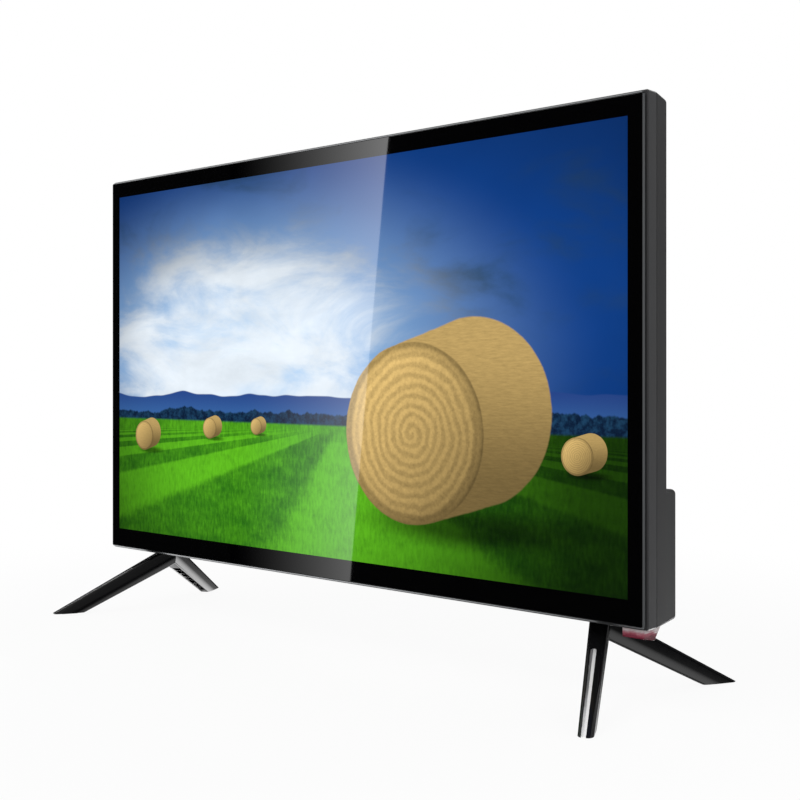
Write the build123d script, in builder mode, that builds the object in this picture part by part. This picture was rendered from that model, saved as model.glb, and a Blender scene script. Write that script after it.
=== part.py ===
from build123d import *
import os
from math import atan2, cos, hypot, sin

# Flat screen television with a flush glass front, standing on two V-shaped legs.
# Millimetres. X runs to the viewer's right, Y to the back and Z up. The origin is on the floor,
# midway between the two stands and midway between their front and rear feet.
# A depth is counted from the face of the glass towards the back.

os.makedirs("parts", exist_ok=True)

# Picture and front glass
picture_width = 521.3
picture_height = 293.2
side_border = 10.25
top_border = 12.7
bottom_border = 15.6
glass_thickness = 2.0
glass_corner = 1.0
overrun = 5.0

# Trim ring around the glass
glass_gap = 0.1
trim_lip = 1.0
trim_depth = 1.2
groove_depth = 0.6
ledge_width = 5.0
flange_thickness = 0.8
skirt_length = 3.2
skirt_gap = 0.5

# Cabinet: the side frame and the tapered rear cover
cabinet_bottom = 51.2
frame_rim = 1.2
frame_corner = 1.4
frame_edge_radius = 1.1
frame_depth = 12.9
frame_wall = 2.4
seam_lip_length = 2.0
seam_lip_width = 1.5
slab_depth = 27.5
box_depth = 39.4
box_height = 84.4
cover_wall = 2.4
draft_share = 0.06
slab_top_draft_share = 0.18
slab_edge_radius = 2.5
box_edge_radius = 2.0
part_gap = 0.3

# Panel module behind the glass
cell_thickness = 1.4
cell_margin = 3.9
module_side_margin = 4.85
module_bottom_margin = 10.0
mould_wall = 2.0
web_thickness = 1.2
window_gap = 0.8
film_thickness = 0.4
light_guide_thickness = 3.0
light_guide_gap = 0.4
light_guide_overhang = 1.5
reflector_thickness = 0.3
pan_thickness = 0.8
bead_height = 1.6
bead_width = 12.0
bead_length = 320.0
led_count = 24
led_width = 5.6
led_height = 0.9
led_gap = 0.5

# Ears that hang the module in the side frame
ear_width = 14.0
ear_boss_width = 12.0
ear_boss_depth = 2.4
ear_screw_radius = 1.2
ear_screw_head_radius = 2.2
ear_screw_head_height = 1.4
ear_places_shares = (-0.40, -0.235, 0.0, 0.235, 0.40)

# Source board along the top of the panel, its flexes and the ribbon down to the main board
source_board_length = 250.0
source_board_height = 16.0
source_board_thickness = 1.0
source_board_drop = 6.0
flex_count = 4
flex_width = 30.0
flex_thickness = 0.3
flex_overlap = 4.0
ribbon_width = 20.0
ribbon_place_share = 0.58
ribbon_thickness = 0.4
ribbon_plug_height = 6.0
ribbon_plug_thickness = 1.8

# Boards in the lower box
standoff_height = 6.0
standoff_radius = 3.0
board_thickness = 1.6
board_side_gap = 3.0
board_screw_radius = 1.25
board_screw_head_radius = 2.6
board_screw_head_height = 1.8
board_hole_inset = 4.5
centre_column = 9.0

# Socket bays under the boards, open to the floor and to the back
bay_height = 28.8
bay_wall = 2.0
main_bay_shares = (0.01, 0.99)
mains_bay_shares = (0.74, 0.98)
bay_front_gap = 1.0

# Sockets, each hanging through the ceiling of a bay
antenna_radius = 5.0
antenna_bore_radius = 4.2
antenna_pin_radius = 0.8
antenna_depth = 12.0
antenna_body = 9.0
barrel_reach = 8.0
phono_radius = 4.1
phono_bore_radius = 1.6
phono_body_width = 10.0
phono_pitch = 13.0
phono_depth = 12.0
phono_height = 12.0
headphone_width = 7.0
headphone_bore_radius = 1.75
headphone_height = 12.0
vga_width = 30.8
vga_depth = 12.5
vga_height = 13.0
vga_shroud_width = 16.9
vga_shroud_depth = 8.3
vga_shroud_height = 5.5
vga_shroud_angle = 80.0
hdmi_width = 15.0
hdmi_depth = 5.9
hdmi_height = 12.0
usb_width = 14.0
usb_depth = 7.0
usb_height = 14.0
metal_wall = 0.5
tongue_share = 0.28
socket_hollow_share = 0.75
socket_cut_gap = 0.4

# Mains inlet for a two-pin lead
inlet_width = 21.0
inlet_depth = 13.0
inlet_height = 17.0
inlet_hollow_width = 14.4
inlet_hollow_depth = 8.2
inlet_hollow_height = 13.0
inlet_pin_radius = 1.2
inlet_pin_pitch = 6.6
inlet_pin_height = 10.0

# Parts on the boards
chip_size = 20.0
chip_thickness = 1.6
heat_sink_size = 32.0
heat_sink_base = 2.0
heat_sink_height = 9.0
heat_sink_fins = 7
heat_sink_fin = 1.2
transformer_width = 30.0
transformer_height = 24.0
transformer_depth_share = 0.714
transformer_place_share = 0.36
transformer_margin = 3.0
capacitor_radius = 6.5
capacitor_length_share = 0.69
capacitor_pitch = 16.0
capacitor_count = 3
power_sink_length = 26.0
power_sink_thickness = 2.0
power_sink_depth_share = 0.62
power_sink_foot = 6.0

# Speakers behind the rear wall
speaker_width_share = 0.0806
speaker_height = 62.0
speaker_flange = 1.6
speaker_depth_share = 0.45
speaker_rim = 4.0
cone_depth_share = 0.45
magnet_radius = 11.0
magnet_depth_share = 0.35
grille_pitch = 4.4
grille_slot = 1.8

# Stands
stand_depth = 28.0
apex_inset = 49.8
apex_drop = 5.3
leg_spread = 41.9
foot_y = 78.9
leg_width_top = 13.0
leg_width_foot = 9.7
leg_height_top = 15.6
leg_height_foot = 11.9
leg_wall = 2.2
leg_crown_share = 0.20
leg_lower_share = 0.12
cavity_shares = (0.20, 0.74)
leg_ribs = 6
leg_rib = 1.2
leg_rib_recess = 1.2
flute_depth = 0.4
flute_width = 3.6
flute_offset_share = -0.20
flute_start_share = 0.26
leg_end_shares = (-0.20, 1.25)
tongue_width = 14.0
tongue_depth = 10.0
tongue_height = 27.0
tongue_root = 4.0
tongue_root_share = 0.5
tongue_gap = 0.25
tongue_lead = 1.2
socket_wall = 2.4
stand_screw_radius = 2.0
stand_screw_head_radius = 3.6
stand_screw_head_height = 2.6
stand_screw_first = 12.0
stand_screw_pitch = 9.0
stand_screw_seat = 3.0
stand_screw_bite = 8.0

# Rubber pads under the feet
pad_rise = 0.6
pad_thickness = 2.0
pad_length = 15.0
pad_shift = 2.5
pad_width = 5.0
pad_gap = 0.1

# Screws that hold the rear cover to the pan
cover_screw_radius = 1.5
cover_screw_head_radius = 2.8
cover_screw_head_height = 2.2
cover_stud_radius = 3.5
cover_stud_height = 4.0
cover_tube_radius = 5.0
cover_well_radius = 3.4
cover_screw_seat = 3.0
cover_screw_clear = 0.2
screw_fit = 0.05
cover_screw_side_shares = (0.42, 0.47)
cover_screw_top_drop = 41.2
cover_screw_low_rise = 49.2

# Wall mount, 100 by 100 with M4 threads
vesa_pitch = 100.0
vesa_bore_radius = 1.65
vesa_post_radius = 5.0
vesa_hole_radius = 4.0
vesa_bore_depth = 10.0

# Vents in the rear cover
vent_count = 22
vent_pitch = 9.0
vent_slot = 3.0
vent_length = 18.0
vent_top_drop = 15.2
vent_low_rise = 5.0
vent_low_length = 15.0
floor_vent_count = 9
floor_vent_slot = 2.0
floor_vent_pitch = 5.0
floor_vent_length = 10.0

# Keys on the back, near the viewer's right edge
key_names = ("power", "source", "menu", "channel_up", "channel_down", "volume_up", "volume_down")
key_pitch = 12.0
key_width = 10.0
key_height = 5.5
key_rise = 1.2
key_gap = 0.25
key_flange = 1.0
key_flange_extra = 1.2
key_stem_radius = 1.6
key_travel = 0.8
key_column_inset = 21.2
key_column_rise = 19.0
switch_width = 6.0
switch_height = 4.3
switch_bore_gap = 0.2
switch_bore_depth = 2.4
switch_floor_gap = 0.4
key_board_thickness = 1.2
key_board_width = 15.0
key_board_end = 11.0
key_board_low_end = 18.5
key_plug_drop = 15.0
key_post_radius = 2.6
key_post_step = 8.5

# Infrared receiver and its lens under the corner
lens_width = 15.2
lens_side_inset = 3.3
lens_start = 3.0
lens_top_end = 23.5
lens_bottom_end = 16.0
lens_height = 5.4
lens_edge_radius = 0.8
lens_neck_start = 17.0
lens_neck_depth = 5.0
lens_neck_width = 8.0
lens_neck_gap = 0.2
lens_neck_height = 7.7
ir_board_width = 11.0
ir_board_height = 26.0
ir_board_thickness = 1.2
ir_board_front = 23.5
ir_board_rise = 6.2
receiver_width = 6.0
receiver_height = 7.0
receiver_depth = 5.0
ir_post_radius = 3.0
stake_radius = 1.2
stake_gap = 0.1
stake_length = 2.0
ir_post_inset = 4.0

# Flat leads between the boards
lead_width = 3.0
lead_thickness = 1.2
lead_bend = 6.0
plug_width = 8.0
plug_height = 6.0
plug_thickness = 5.0
plug_row = 12.0

# Sizes worked out from the ones above
glass_width = picture_width + 2 * side_border
glass_height = picture_height + bottom_border + top_border
trim_corner = glass_corner + glass_gap + trim_lip
edge = glass_gap + trim_lip + frame_rim
cabinet_width = glass_width + 2 * edge
cabinet_height = glass_height + 2 * edge
cabinet_top = cabinet_bottom + cabinet_height
cabinet_mid = cabinet_bottom + cabinet_height / 2
half_width = cabinet_width / 2
apex_x = half_width - apex_inset
foot_x = apex_x + leg_spread
picture_bottom = cabinet_bottom + edge + bottom_border
picture_top = picture_bottom + picture_height
inner_half = half_width - frame_wall
inner_bottom = cabinet_bottom + frame_wall
inner_top = cabinet_top - frame_wall

frame_front = glass_thickness + flange_thickness
cell_back = glass_thickness + cell_thickness
web_back = cell_back + web_thickness
prism_back = web_back + film_thickness
diffuser_back = prism_back + film_thickness
guide_back = diffuser_back + light_guide_thickness
reflector_back = guide_back + reflector_thickness
pan_back = reflector_back + pan_thickness
module_half = picture_width / 2 + module_side_margin
module_bottom = picture_bottom - module_bottom_margin
module_top = picture_top + module_side_margin
board_front = pan_back + standoff_height
board_back = board_front + board_thickness
slab_inner = slab_depth - cover_wall
box_inner = box_depth - cover_wall
box_top = cabinet_bottom + box_height


def inset_at(depth):
    """How far the tapered rear cover has drawn in at a depth."""
    return draft_share * (depth - frame_depth)


def at_depth(depth):
    """Plane at a depth behind the glass, as the viewer sees it: x to the right and y up.

    Its normal points to the viewer, so a sketch at a piece's back is extruded forward."""
    return Plane(origin=(0, depth - stand_depth, 0), x_dir=(1, 0, 0), z_dir=(0, -1, 0))


def at_height(height):
    """Plane at a height above the floor, with x to the right and y to the back."""
    return Plane.XY.offset(height)


def depth_y(depth):
    """Y of a depth behind the glass."""
    return depth - stand_depth


def rectangle_between(left, right, bottom, top):
    """Draw a rectangle between its sides in the sketch that is open."""
    with Locations(((left + right) / 2, (bottom + top) / 2)):
        Rectangle(right - left, top - bottom)


def rounded_outline(inset, radius):
    """Draw the outline of the cabinet, drawn in by an inset on every side."""
    with Locations((0, cabinet_mid)):
        RectangleRounded(cabinet_width - 2 * inset, cabinet_height - 2 * inset, radius)


def square_outline(inset, mode=Mode.ADD):
    """Draw the same outline with square corners."""
    with Locations((0, cabinet_mid)):
        Rectangle(cabinet_width - 2 * inset, cabinet_height - 2 * inset, mode=mode)


def keep(builder, name):
    """Label a finished piece and write it to its own file."""
    builder.part.label = name
    export_step(builder.part, f"parts/{name}.step")


# Places of the boards in the lower box, counted out from the middle
socket_block_half = tongue_width / 2 + tongue_gap + socket_wall
speaker_width = speaker_width_share * cabinet_width
speaker_right = apex_x - socket_block_half - board_side_gap
speaker_left = speaker_right - speaker_width
board_left = centre_column
board_right = speaker_left - board_side_gap
board_width = board_right - board_left
bay_ceiling = cabinet_bottom + bay_height
board_bottom = bay_ceiling + bay_wall + part_gap
board_top = box_top - inset_at(box_depth) - cover_wall - board_side_gap
board_mid = (board_bottom + board_top) / 2
board_holes = [(side * x, z) for side in (-1, 1)
               for x in (board_left + board_hole_inset, board_right - board_hole_inset)
               for z in (board_bottom + board_hole_inset, board_top - board_hole_inset)]

# Socket bays, from their left to their right sides
main_bay = [board_left + share * board_width for share in main_bay_shares]
mains_bay = [-board_left - share * board_width for share in reversed(mains_bay_shares)]
bays = [main_bay, mains_bay]

# Places of the screws through the rear cover
upper_screw_z = cabinet_top - cover_screw_top_drop
lower_screw_z = cabinet_bottom + cover_screw_low_rise
middle_screw_x = cover_screw_side_shares[0] * cabinet_width
corner_screw_x = cover_screw_side_shares[1] * cabinet_width - cover_screw_head_radius
upper_screw_x = apex_x - tongue_width
slab_screws = [(-upper_screw_x, upper_screw_z), (upper_screw_x, upper_screw_z),
               (-upper_screw_x / 3, upper_screw_z), (upper_screw_x / 3, upper_screw_z),
               (-middle_screw_x, cabinet_mid + vesa_pitch / 2), (middle_screw_x, cabinet_mid + vesa_pitch / 2)]
box_screws = [(-corner_screw_x, lower_screw_z), (corner_screw_x, lower_screw_z), (0, board_mid)]

# Front glass, with its black border printed on the back
with BuildPart() as front_glass:
    with BuildSketch(at_depth(glass_thickness)):
        with Locations((0, cabinet_mid)):
            RectangleRounded(glass_width, glass_height, glass_corner)
    extrude(amount=glass_thickness)
keep(front_glass, "front_glass")

# Trim ring: a chamfered lip, a groove behind it, and a skirt that the glass is bonded to
glass_room = edge - glass_gap
ledge_inset = glass_room + ledge_width
with BuildPart() as trim_ring:
    with BuildSketch(at_depth(trim_depth)):
        rounded_outline(frame_rim, trim_corner)
    extrude(amount=trim_depth)
    front_edges = trim_ring.faces().sort_by(Axis.Y)[0].edges()
    chamfer(front_edges, trim_lip - glass_gap)
    with BuildSketch(at_depth(frame_front)):
        rounded_outline(frame_rim + groove_depth, trim_corner - groove_depth)
    extrude(amount=frame_front - trim_depth)
    with BuildSketch(at_depth(frame_front + skirt_length)):
        rounded_outline(frame_wall + skirt_gap, glass_corner)
    extrude(amount=skirt_length)
    with BuildSketch(at_depth(glass_thickness)):
        rounded_outline(glass_room, glass_corner + glass_gap)
    extrude(amount=glass_thickness + overrun, mode=Mode.SUBTRACT)
    with BuildSketch(at_depth(frame_front + skirt_length + overrun)):
        rounded_outline(ledge_inset, glass_corner)
    extrude(amount=frame_front + skirt_length + 2 * overrun, mode=Mode.SUBTRACT)
keep(trim_ring, "trim_ring")

# Side frame: the walls of the cabinet, rounded where they stand proud of the trim, a lip for the
# rear cover, and bosses for the module's ears
ear_places = [share * 2 * module_half for share in ear_places_shares]
ear_top = inner_top - seam_lip_width - part_gap
ear_screw_z = (module_top + ear_top) / 2
with BuildPart() as side_frame:
    with BuildSketch(at_depth(frame_depth)):
        rounded_outline(0, frame_corner)
        square_outline(frame_wall, Mode.SUBTRACT)
    extrude(amount=frame_depth - frame_front)
    fillet(side_frame.faces().sort_by(Axis.Y)[0].outer_wire().edges(), frame_edge_radius)
    with BuildSketch(at_depth(frame_depth)):
        square_outline(frame_wall)
        square_outline(frame_wall + seam_lip_width, Mode.SUBTRACT)
    extrude(amount=seam_lip_length)
    with BuildSketch(at_depth(frame_depth + seam_lip_length)):
        square_outline(frame_wall + skirt_gap)
        square_outline(frame_wall + seam_lip_width, Mode.SUBTRACT)
    extrude(amount=seam_lip_length)
    # Notches in the lip for the walls of the socket bays
    with BuildSketch(at_depth(frame_depth + seam_lip_length)):
        for bay in bays:
            rectangle_between(bay[0] - bay_wall - part_gap, bay[1] + bay_wall + part_gap,
                              inner_bottom, inner_bottom + seam_lip_width + part_gap)
    extrude(amount=seam_lip_length, mode=Mode.SUBTRACT)
    # Ear bosses on the upper wall
    with BuildSketch(at_depth(reflector_back)):
        for x in ear_places:
            rectangle_between(x - ear_boss_width / 2, x + ear_boss_width / 2,
                              module_top + part_gap, inner_top)
        with Locations(*[(x, ear_screw_z) for x in ear_places]):
            Circle(ear_screw_radius, mode=Mode.SUBTRACT)
    extrude(amount=ear_boss_depth)
    # Ribs on the lower wall that the module stands on
    with BuildSketch(at_depth(pan_back)):
        for x in ear_places:
            rectangle_between(x - ear_boss_width / 2, x + ear_boss_width / 2,
                              inner_bottom, module_bottom)
    extrude(amount=ear_boss_depth)
keep(side_frame, "side_frame")

# Liquid crystal cell, bonded behind the glass
cell_top = picture_top + cell_margin
with BuildPart() as lcd_cell:
    with BuildSketch(at_depth(cell_back)):
        rectangle_between(-picture_width / 2 - cell_margin, picture_width / 2 + cell_margin,
                          module_bottom + part_gap, cell_top)
    extrude(amount=cell_thickness)
keep(lcd_cell, "lcd_cell")

# Moulded frame that holds the cell in front and the backlight behind
guide_half = module_half - mould_wall - light_guide_gap
guide_bottom = picture_bottom - light_guide_overhang
guide_top = module_top - mould_wall - light_guide_gap
with BuildPart() as mould_frame:
    with BuildSketch(at_depth(reflector_back)):
        rectangle_between(-module_half, module_half, module_bottom, module_top)
    extrude(amount=reflector_back - cell_back)
    with BuildSketch(at_depth(reflector_back)):
        rectangle_between(-module_half + mould_wall, module_half - mould_wall,
                          module_bottom + mould_wall, module_top - mould_wall)
    extrude(amount=reflector_back - web_back, mode=Mode.SUBTRACT)
    with BuildSketch(at_depth(reflector_back)):
        rectangle_between(-picture_width / 2 - window_gap, picture_width / 2 + window_gap,
                          picture_bottom - window_gap, picture_top + window_gap)
    extrude(amount=reflector_back, mode=Mode.SUBTRACT)
keep(mould_frame, "mould_frame")


def make_sheet(back, thickness, bottom):
    """A flat sheet of the backlight, as wide as the light guide."""
    with BuildPart() as sheet:
        with BuildSketch(at_depth(back)):
            rectangle_between(-guide_half, guide_half, bottom, guide_top)
        extrude(amount=thickness)
    return sheet


# Backlight: prism sheet, diffuser, light guide and reflector
keep(make_sheet(prism_back, film_thickness, guide_bottom), "prism_sheet")
keep(make_sheet(diffuser_back, film_thickness, guide_bottom), "diffuser_sheet")
keep(make_sheet(guide_back, light_guide_thickness, guide_bottom), "light_guide")
keep(make_sheet(reflector_back, reflector_thickness, guide_bottom), "reflector_sheet")

# Light bar: an aluminium strip with a row of lamps that shine up into the guide
led_top = guide_bottom - led_gap
led_base = led_top - led_height
with BuildPart() as led_bar:
    with BuildSketch(at_depth(guide_back)):
        rectangle_between(-guide_half, guide_half, module_bottom + mould_wall, led_base)
    extrude(amount=light_guide_thickness)
    with BuildSketch(at_depth(guide_back)):
        with Locations((0, (led_base + led_top) / 2)):
            with GridLocations(2 * guide_half / led_count, 0, led_count, 1):
                Rectangle(led_width, led_height)
    extrude(amount=light_guide_thickness)
keep(led_bar, "led_bar")

# Steel pan: floor, ears, beads, and the studs that carry boards and cover
vesa_places = [(x * vesa_pitch / 2, cabinet_mid + z * vesa_pitch / 2) for x in (-1, 1) for z in (-1, 1)]
bead_places = [cabinet_mid, upper_screw_z - bead_width * 2]
with BuildPart() as back_pan:
    with BuildSketch(at_depth(pan_back)):
        rectangle_between(-module_half, module_half, module_bottom, module_top)
        for x in ear_places:
            rectangle_between(x - ear_width / 2, x + ear_width / 2, module_top - mould_wall, ear_top)
        with Locations(*[(x, ear_screw_z) for x in ear_places]):
            Circle(ear_screw_radius, mode=Mode.SUBTRACT)
    extrude(amount=pan_thickness)
    with BuildSketch(at_depth(pan_back + bead_height)):
        with Locations(*[(0, z) for z in bead_places]):
            Rectangle(bead_length, bead_width)
    extrude(amount=bead_height)
    with BuildSketch(at_depth(pan_back + bead_height - pan_thickness)):
        with Locations(*[(0, z) for z in bead_places]):
            Rectangle(bead_length - 2 * pan_thickness, bead_width - 2 * pan_thickness)
    extrude(amount=bead_height + overrun, mode=Mode.SUBTRACT)
    with BuildSketch(at_depth(board_front)):
        with Locations(*board_holes):
            Circle(standoff_radius)
            Circle(board_screw_radius, mode=Mode.SUBTRACT)
    extrude(amount=standoff_height)
    with BuildSketch(at_depth(pan_back + cover_stud_height)):
        with Locations(*slab_screws, *box_screws):
            Circle(cover_stud_radius)
            Circle(cover_screw_radius, mode=Mode.SUBTRACT)
    extrude(amount=cover_stud_height)
keep(back_pan, "back_pan")

# Threaded posts of the wall mount, pressed into the pan
with BuildPart() as vesa_posts:
    with BuildSketch(at_depth(slab_inner)):
        with Locations(*vesa_places):
            Circle(vesa_post_radius)
    extrude(amount=slab_inner - pan_back)
    with BuildSketch(at_depth(slab_inner)):
        with Locations(*vesa_places):
            Circle(vesa_bore_radius)
    extrude(amount=vesa_bore_depth, mode=Mode.SUBTRACT)
keep(vesa_posts, "vesa_posts")


def make_screws(places, seat, head_radius, head_height, shank_radius, shank_end):
    """Pan-head screws driven from the back: heads behind a seat, shanks forward to their end."""
    with BuildPart() as screws:
        with BuildSketch(at_depth(seat + head_height)):
            with Locations(*places):
                Circle(head_radius)
        extrude(amount=head_height)
        with BuildSketch(at_depth(seat)):
            with Locations(*places):
                Circle(shank_radius - screw_fit)
        extrude(amount=seat - shank_end)
    return screws


# Screws of the panel ears and of the two boards
ear_screw_places = [(x, ear_screw_z) for x in ear_places]
keep(make_screws(ear_screw_places, pan_back, ear_screw_head_radius, ear_screw_head_height,
                 ear_screw_radius, reflector_back - ear_boss_depth), "panel_screws")
keep(make_screws(board_holes, board_back, board_screw_head_radius, board_screw_head_height,
                 board_screw_radius, pan_back + part_gap), "board_screws")

# Source board behind the top of the pan, with the plug of the ribbon on it
source_front = pan_back + part_gap
source_back = source_front + source_board_thickness
source_top = module_top - source_board_drop
source_bottom = source_top - source_board_height
ribbon_x = board_left + ribbon_place_share * board_width
with BuildPart() as source_board:
    with BuildSketch(at_depth(source_back)):
        rectangle_between(-source_board_length / 2, source_board_length / 2, source_bottom, source_top)
    extrude(amount=source_board_thickness)
    with BuildSketch(at_depth(source_back + ribbon_plug_thickness)):
        rectangle_between(ribbon_x - ribbon_width / 2 - ribbon_thickness,
                          ribbon_x + ribbon_width / 2 + ribbon_thickness,
                          source_bottom, source_bottom + ribbon_plug_height)
    extrude(amount=ribbon_plug_thickness)
keep(source_board, "source_board")

# Flexes from the top edge of the cell, over the module and down to the source board
flex_pitch = source_board_length / flex_count
flex_roof = module_top + part_gap
with BuildPart() as cell_flexes:
    for n in range(flex_count):
        flex_x = flex_pitch * (n + 0.5) - source_board_length / 2 - flex_width / 2
        with BuildSketch(Plane.YZ.offset(flex_x)):
            rectangle_between(depth_y(glass_thickness), depth_y(glass_thickness) + flex_thickness,
                              cell_top, flex_roof + flex_thickness)
            rectangle_between(depth_y(glass_thickness), depth_y(source_back) + flex_thickness,
                              flex_roof, flex_roof + flex_thickness)
            rectangle_between(depth_y(source_back), depth_y(source_back) + flex_thickness,
                              source_top - flex_overlap, flex_roof + flex_thickness)
        extrude(amount=flex_width)
keep(cell_flexes, "cell_flexes")

# Ribbon from the source board down to the main board
ribbon_front = source_back + ribbon_plug_thickness
ribbon_turn = board_top + board_side_gap / 2
ribbon_end = board_back + ribbon_plug_thickness
ribbon_left = ribbon_x - ribbon_width / 2
with BuildPart() as panel_ribbon:
    with BuildSketch(Plane.YZ.offset(ribbon_left)):
        rectangle_between(depth_y(ribbon_front), depth_y(ribbon_front) + ribbon_thickness,
                          ribbon_turn, source_bottom + ribbon_plug_height)
        rectangle_between(depth_y(ribbon_front), depth_y(ribbon_end) + ribbon_thickness,
                          ribbon_turn, ribbon_turn + ribbon_thickness)
        rectangle_between(depth_y(ribbon_end), depth_y(ribbon_end) + ribbon_thickness,
                          board_top - ribbon_plug_height, ribbon_turn + ribbon_thickness)
    extrude(amount=ribbon_width)
keep(panel_ribbon, "panel_ribbon")

# Main board with its chip and the plug of the ribbon
chip_x = board_left + 2 * board_side_gap + heat_sink_size
chip_z = board_top - heat_sink_size / 2 - part_gap
with BuildPart() as main_board:
    with BuildSketch(at_depth(board_back)):
        rectangle_between(board_left, board_right, board_bottom, board_top)
        with Locations(*[place for place in board_holes if place[0] > 0]):
            Circle(board_screw_radius, mode=Mode.SUBTRACT)
    extrude(amount=board_thickness)
    with BuildSketch(at_depth(board_back + chip_thickness)):
        with Locations((chip_x, chip_z)):
            Rectangle(chip_size, chip_size)
    extrude(amount=chip_thickness)
    with BuildSketch(at_depth(ribbon_end)):
        rectangle_between(ribbon_left - ribbon_thickness, ribbon_left + ribbon_width + ribbon_thickness,
                          board_top - ribbon_plug_height, board_top)
    extrude(amount=ribbon_plug_thickness)
keep(main_board, "main_board")

# Finned heat sink on the chip
sink_front = board_back + chip_thickness
with BuildPart() as heat_sink:
    with BuildSketch(at_depth(sink_front + heat_sink_base)):
        with Locations((chip_x, chip_z)):
            Rectangle(heat_sink_size, heat_sink_size)
    extrude(amount=heat_sink_base)
    with BuildSketch(at_depth(sink_front + heat_sink_height)):
        with Locations((chip_x, chip_z)):
            with GridLocations((heat_sink_size - heat_sink_fin) / (heat_sink_fins - 1), 0, heat_sink_fins, 1):
                Rectangle(heat_sink_fin, heat_sink_size)
    extrude(amount=heat_sink_height - heat_sink_base)
keep(heat_sink, "heat_sink")

# Places of the sockets, spread evenly along the main bay
socket_widths = {"antenna": 2 * antenna_radius, "phono": phono_body_width + 2 * phono_pitch,
                 "headphone": headphone_width, "vga": vga_width, "hdmi": hdmi_width, "usb": usb_width}
socket_space = (main_bay[1] - main_bay[0] - sum(socket_widths.values())) / (len(socket_widths) + 1)
socket_x = {}
socket_edge = main_bay[0]
for socket_name, socket_width in socket_widths.items():
    socket_x[socket_name] = socket_edge + socket_space + socket_width / 2
    socket_edge = socket_x[socket_name] + socket_width / 2


def on_board(x, width, depth):
    """Draw the plan of a part that stands on the back of a board."""
    rectangle_between(x - width / 2, x + width / 2, depth_y(board_back), depth_y(board_back) + depth)


# Antenna socket: a round shell with a centre contact
antenna_y = depth_y(board_back) + antenna_depth / 2
with BuildPart() as antenna_socket:
    with BuildSketch(at_height(bay_ceiling + bay_wall)):
        on_board(socket_x["antenna"], 2 * antenna_radius, antenna_depth)
    extrude(amount=antenna_body)
    with BuildSketch(at_height(bay_ceiling - barrel_reach)):
        with Locations((socket_x["antenna"], antenna_y)):
            Circle(antenna_radius)
            Circle(antenna_bore_radius, mode=Mode.SUBTRACT)
            Circle(antenna_pin_radius)
    extrude(amount=barrel_reach + bay_wall)
keep(antenna_socket, "antenna_socket")

# Three phono sockets for sound and picture
phono_x = [socket_x["phono"] + step * phono_pitch for step in (-1, 0, 1)]
phono_y = depth_y(board_back) + phono_depth / 2
with BuildPart() as phono_sockets:
    with BuildSketch(at_height(bay_ceiling + bay_wall)):
        for x in phono_x:
            on_board(x, phono_body_width, phono_depth)
    extrude(amount=phono_height)
    with BuildSketch(at_height(bay_ceiling - barrel_reach)):
        with Locations(*[(x, phono_y) for x in phono_x]):
            Circle(phono_radius)
            Circle(phono_bore_radius, mode=Mode.SUBTRACT)
    extrude(amount=barrel_reach + bay_wall)
keep(phono_sockets, "phono_sockets")

# Headphone socket
with BuildPart() as headphone_socket:
    with BuildSketch(at_height(bay_ceiling)):
        on_board(socket_x["headphone"], headphone_width, headphone_width)
        with Locations((socket_x["headphone"], depth_y(board_back) + headphone_width / 2)):
            Circle(headphone_bore_radius, mode=Mode.SUBTRACT)
    extrude(amount=headphone_height)
keep(headphone_socket, "headphone_socket")

# Video socket with a D-shaped shroud
vga_y = depth_y(board_back) + vga_depth / 2
with BuildPart() as vga_socket:
    with BuildSketch(at_height(bay_ceiling)):
        on_board(socket_x["vga"], vga_width, vga_depth)
    extrude(amount=vga_height)
    with BuildSketch(at_height(bay_ceiling - vga_shroud_height)):
        with Locations((socket_x["vga"], vga_y)):
            Trapezoid(vga_shroud_width, vga_shroud_depth, vga_shroud_angle)
    extrude(amount=vga_shroud_height)
keep(vga_socket, "vga_socket")


def make_shell_socket(x, width, depth, height):
    """A sheet-metal socket that opens downwards, with a contact tongue inside."""
    middle_y = depth_y(board_back) + depth / 2
    hollow = height * socket_hollow_share
    with BuildPart() as socket:
        with BuildSketch(at_height(bay_ceiling)):
            on_board(x, width, depth)
        extrude(amount=height)
        with BuildSketch(at_height(bay_ceiling)):
            with Locations((x, middle_y)):
                Rectangle(width - 2 * metal_wall, depth - 2 * metal_wall)
        extrude(amount=hollow, mode=Mode.SUBTRACT)
        with BuildSketch(at_height(bay_ceiling + metal_wall)):
            with Locations((x, middle_y)):
                Rectangle(width * socket_hollow_share, depth * tongue_share)
        extrude(amount=hollow)
    return socket


# Digital video socket and data socket
keep(make_shell_socket(socket_x["hdmi"], hdmi_width, hdmi_depth, hdmi_height), "hdmi_socket")
keep(make_shell_socket(socket_x["usb"], usb_width, usb_depth, usb_height), "usb_socket")

# Power board
with BuildPart() as power_board:
    with BuildSketch(at_depth(board_back)):
        rectangle_between(-board_right, -board_left, board_bottom, board_top)
        with Locations(*[place for place in board_holes if place[0] < 0]):
            Circle(board_screw_radius, mode=Mode.SUBTRACT)
    extrude(amount=board_thickness)
keep(power_board, "power_board")

# Transformer: a core through a wound bobbin
board_room = box_inner - board_back
transformer_depth = transformer_depth_share * board_room
transformer_x = -board_left - transformer_place_share * board_width
transformer_z = board_mid
with BuildPart() as transformer:
    with BuildSketch(at_depth(board_back + transformer_depth)):
        with Locations((transformer_x, transformer_z)):
            Rectangle(transformer_width, transformer_height - 2 * transformer_margin)
    extrude(amount=transformer_depth)
    with BuildSketch(at_depth(board_back + transformer_depth - transformer_margin)):
        with Locations((transformer_x, transformer_z)):
            Rectangle(transformer_width - 2 * transformer_margin, transformer_height)
    extrude(amount=transformer_depth - 2 * transformer_margin)
keep(transformer, "transformer")

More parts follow.
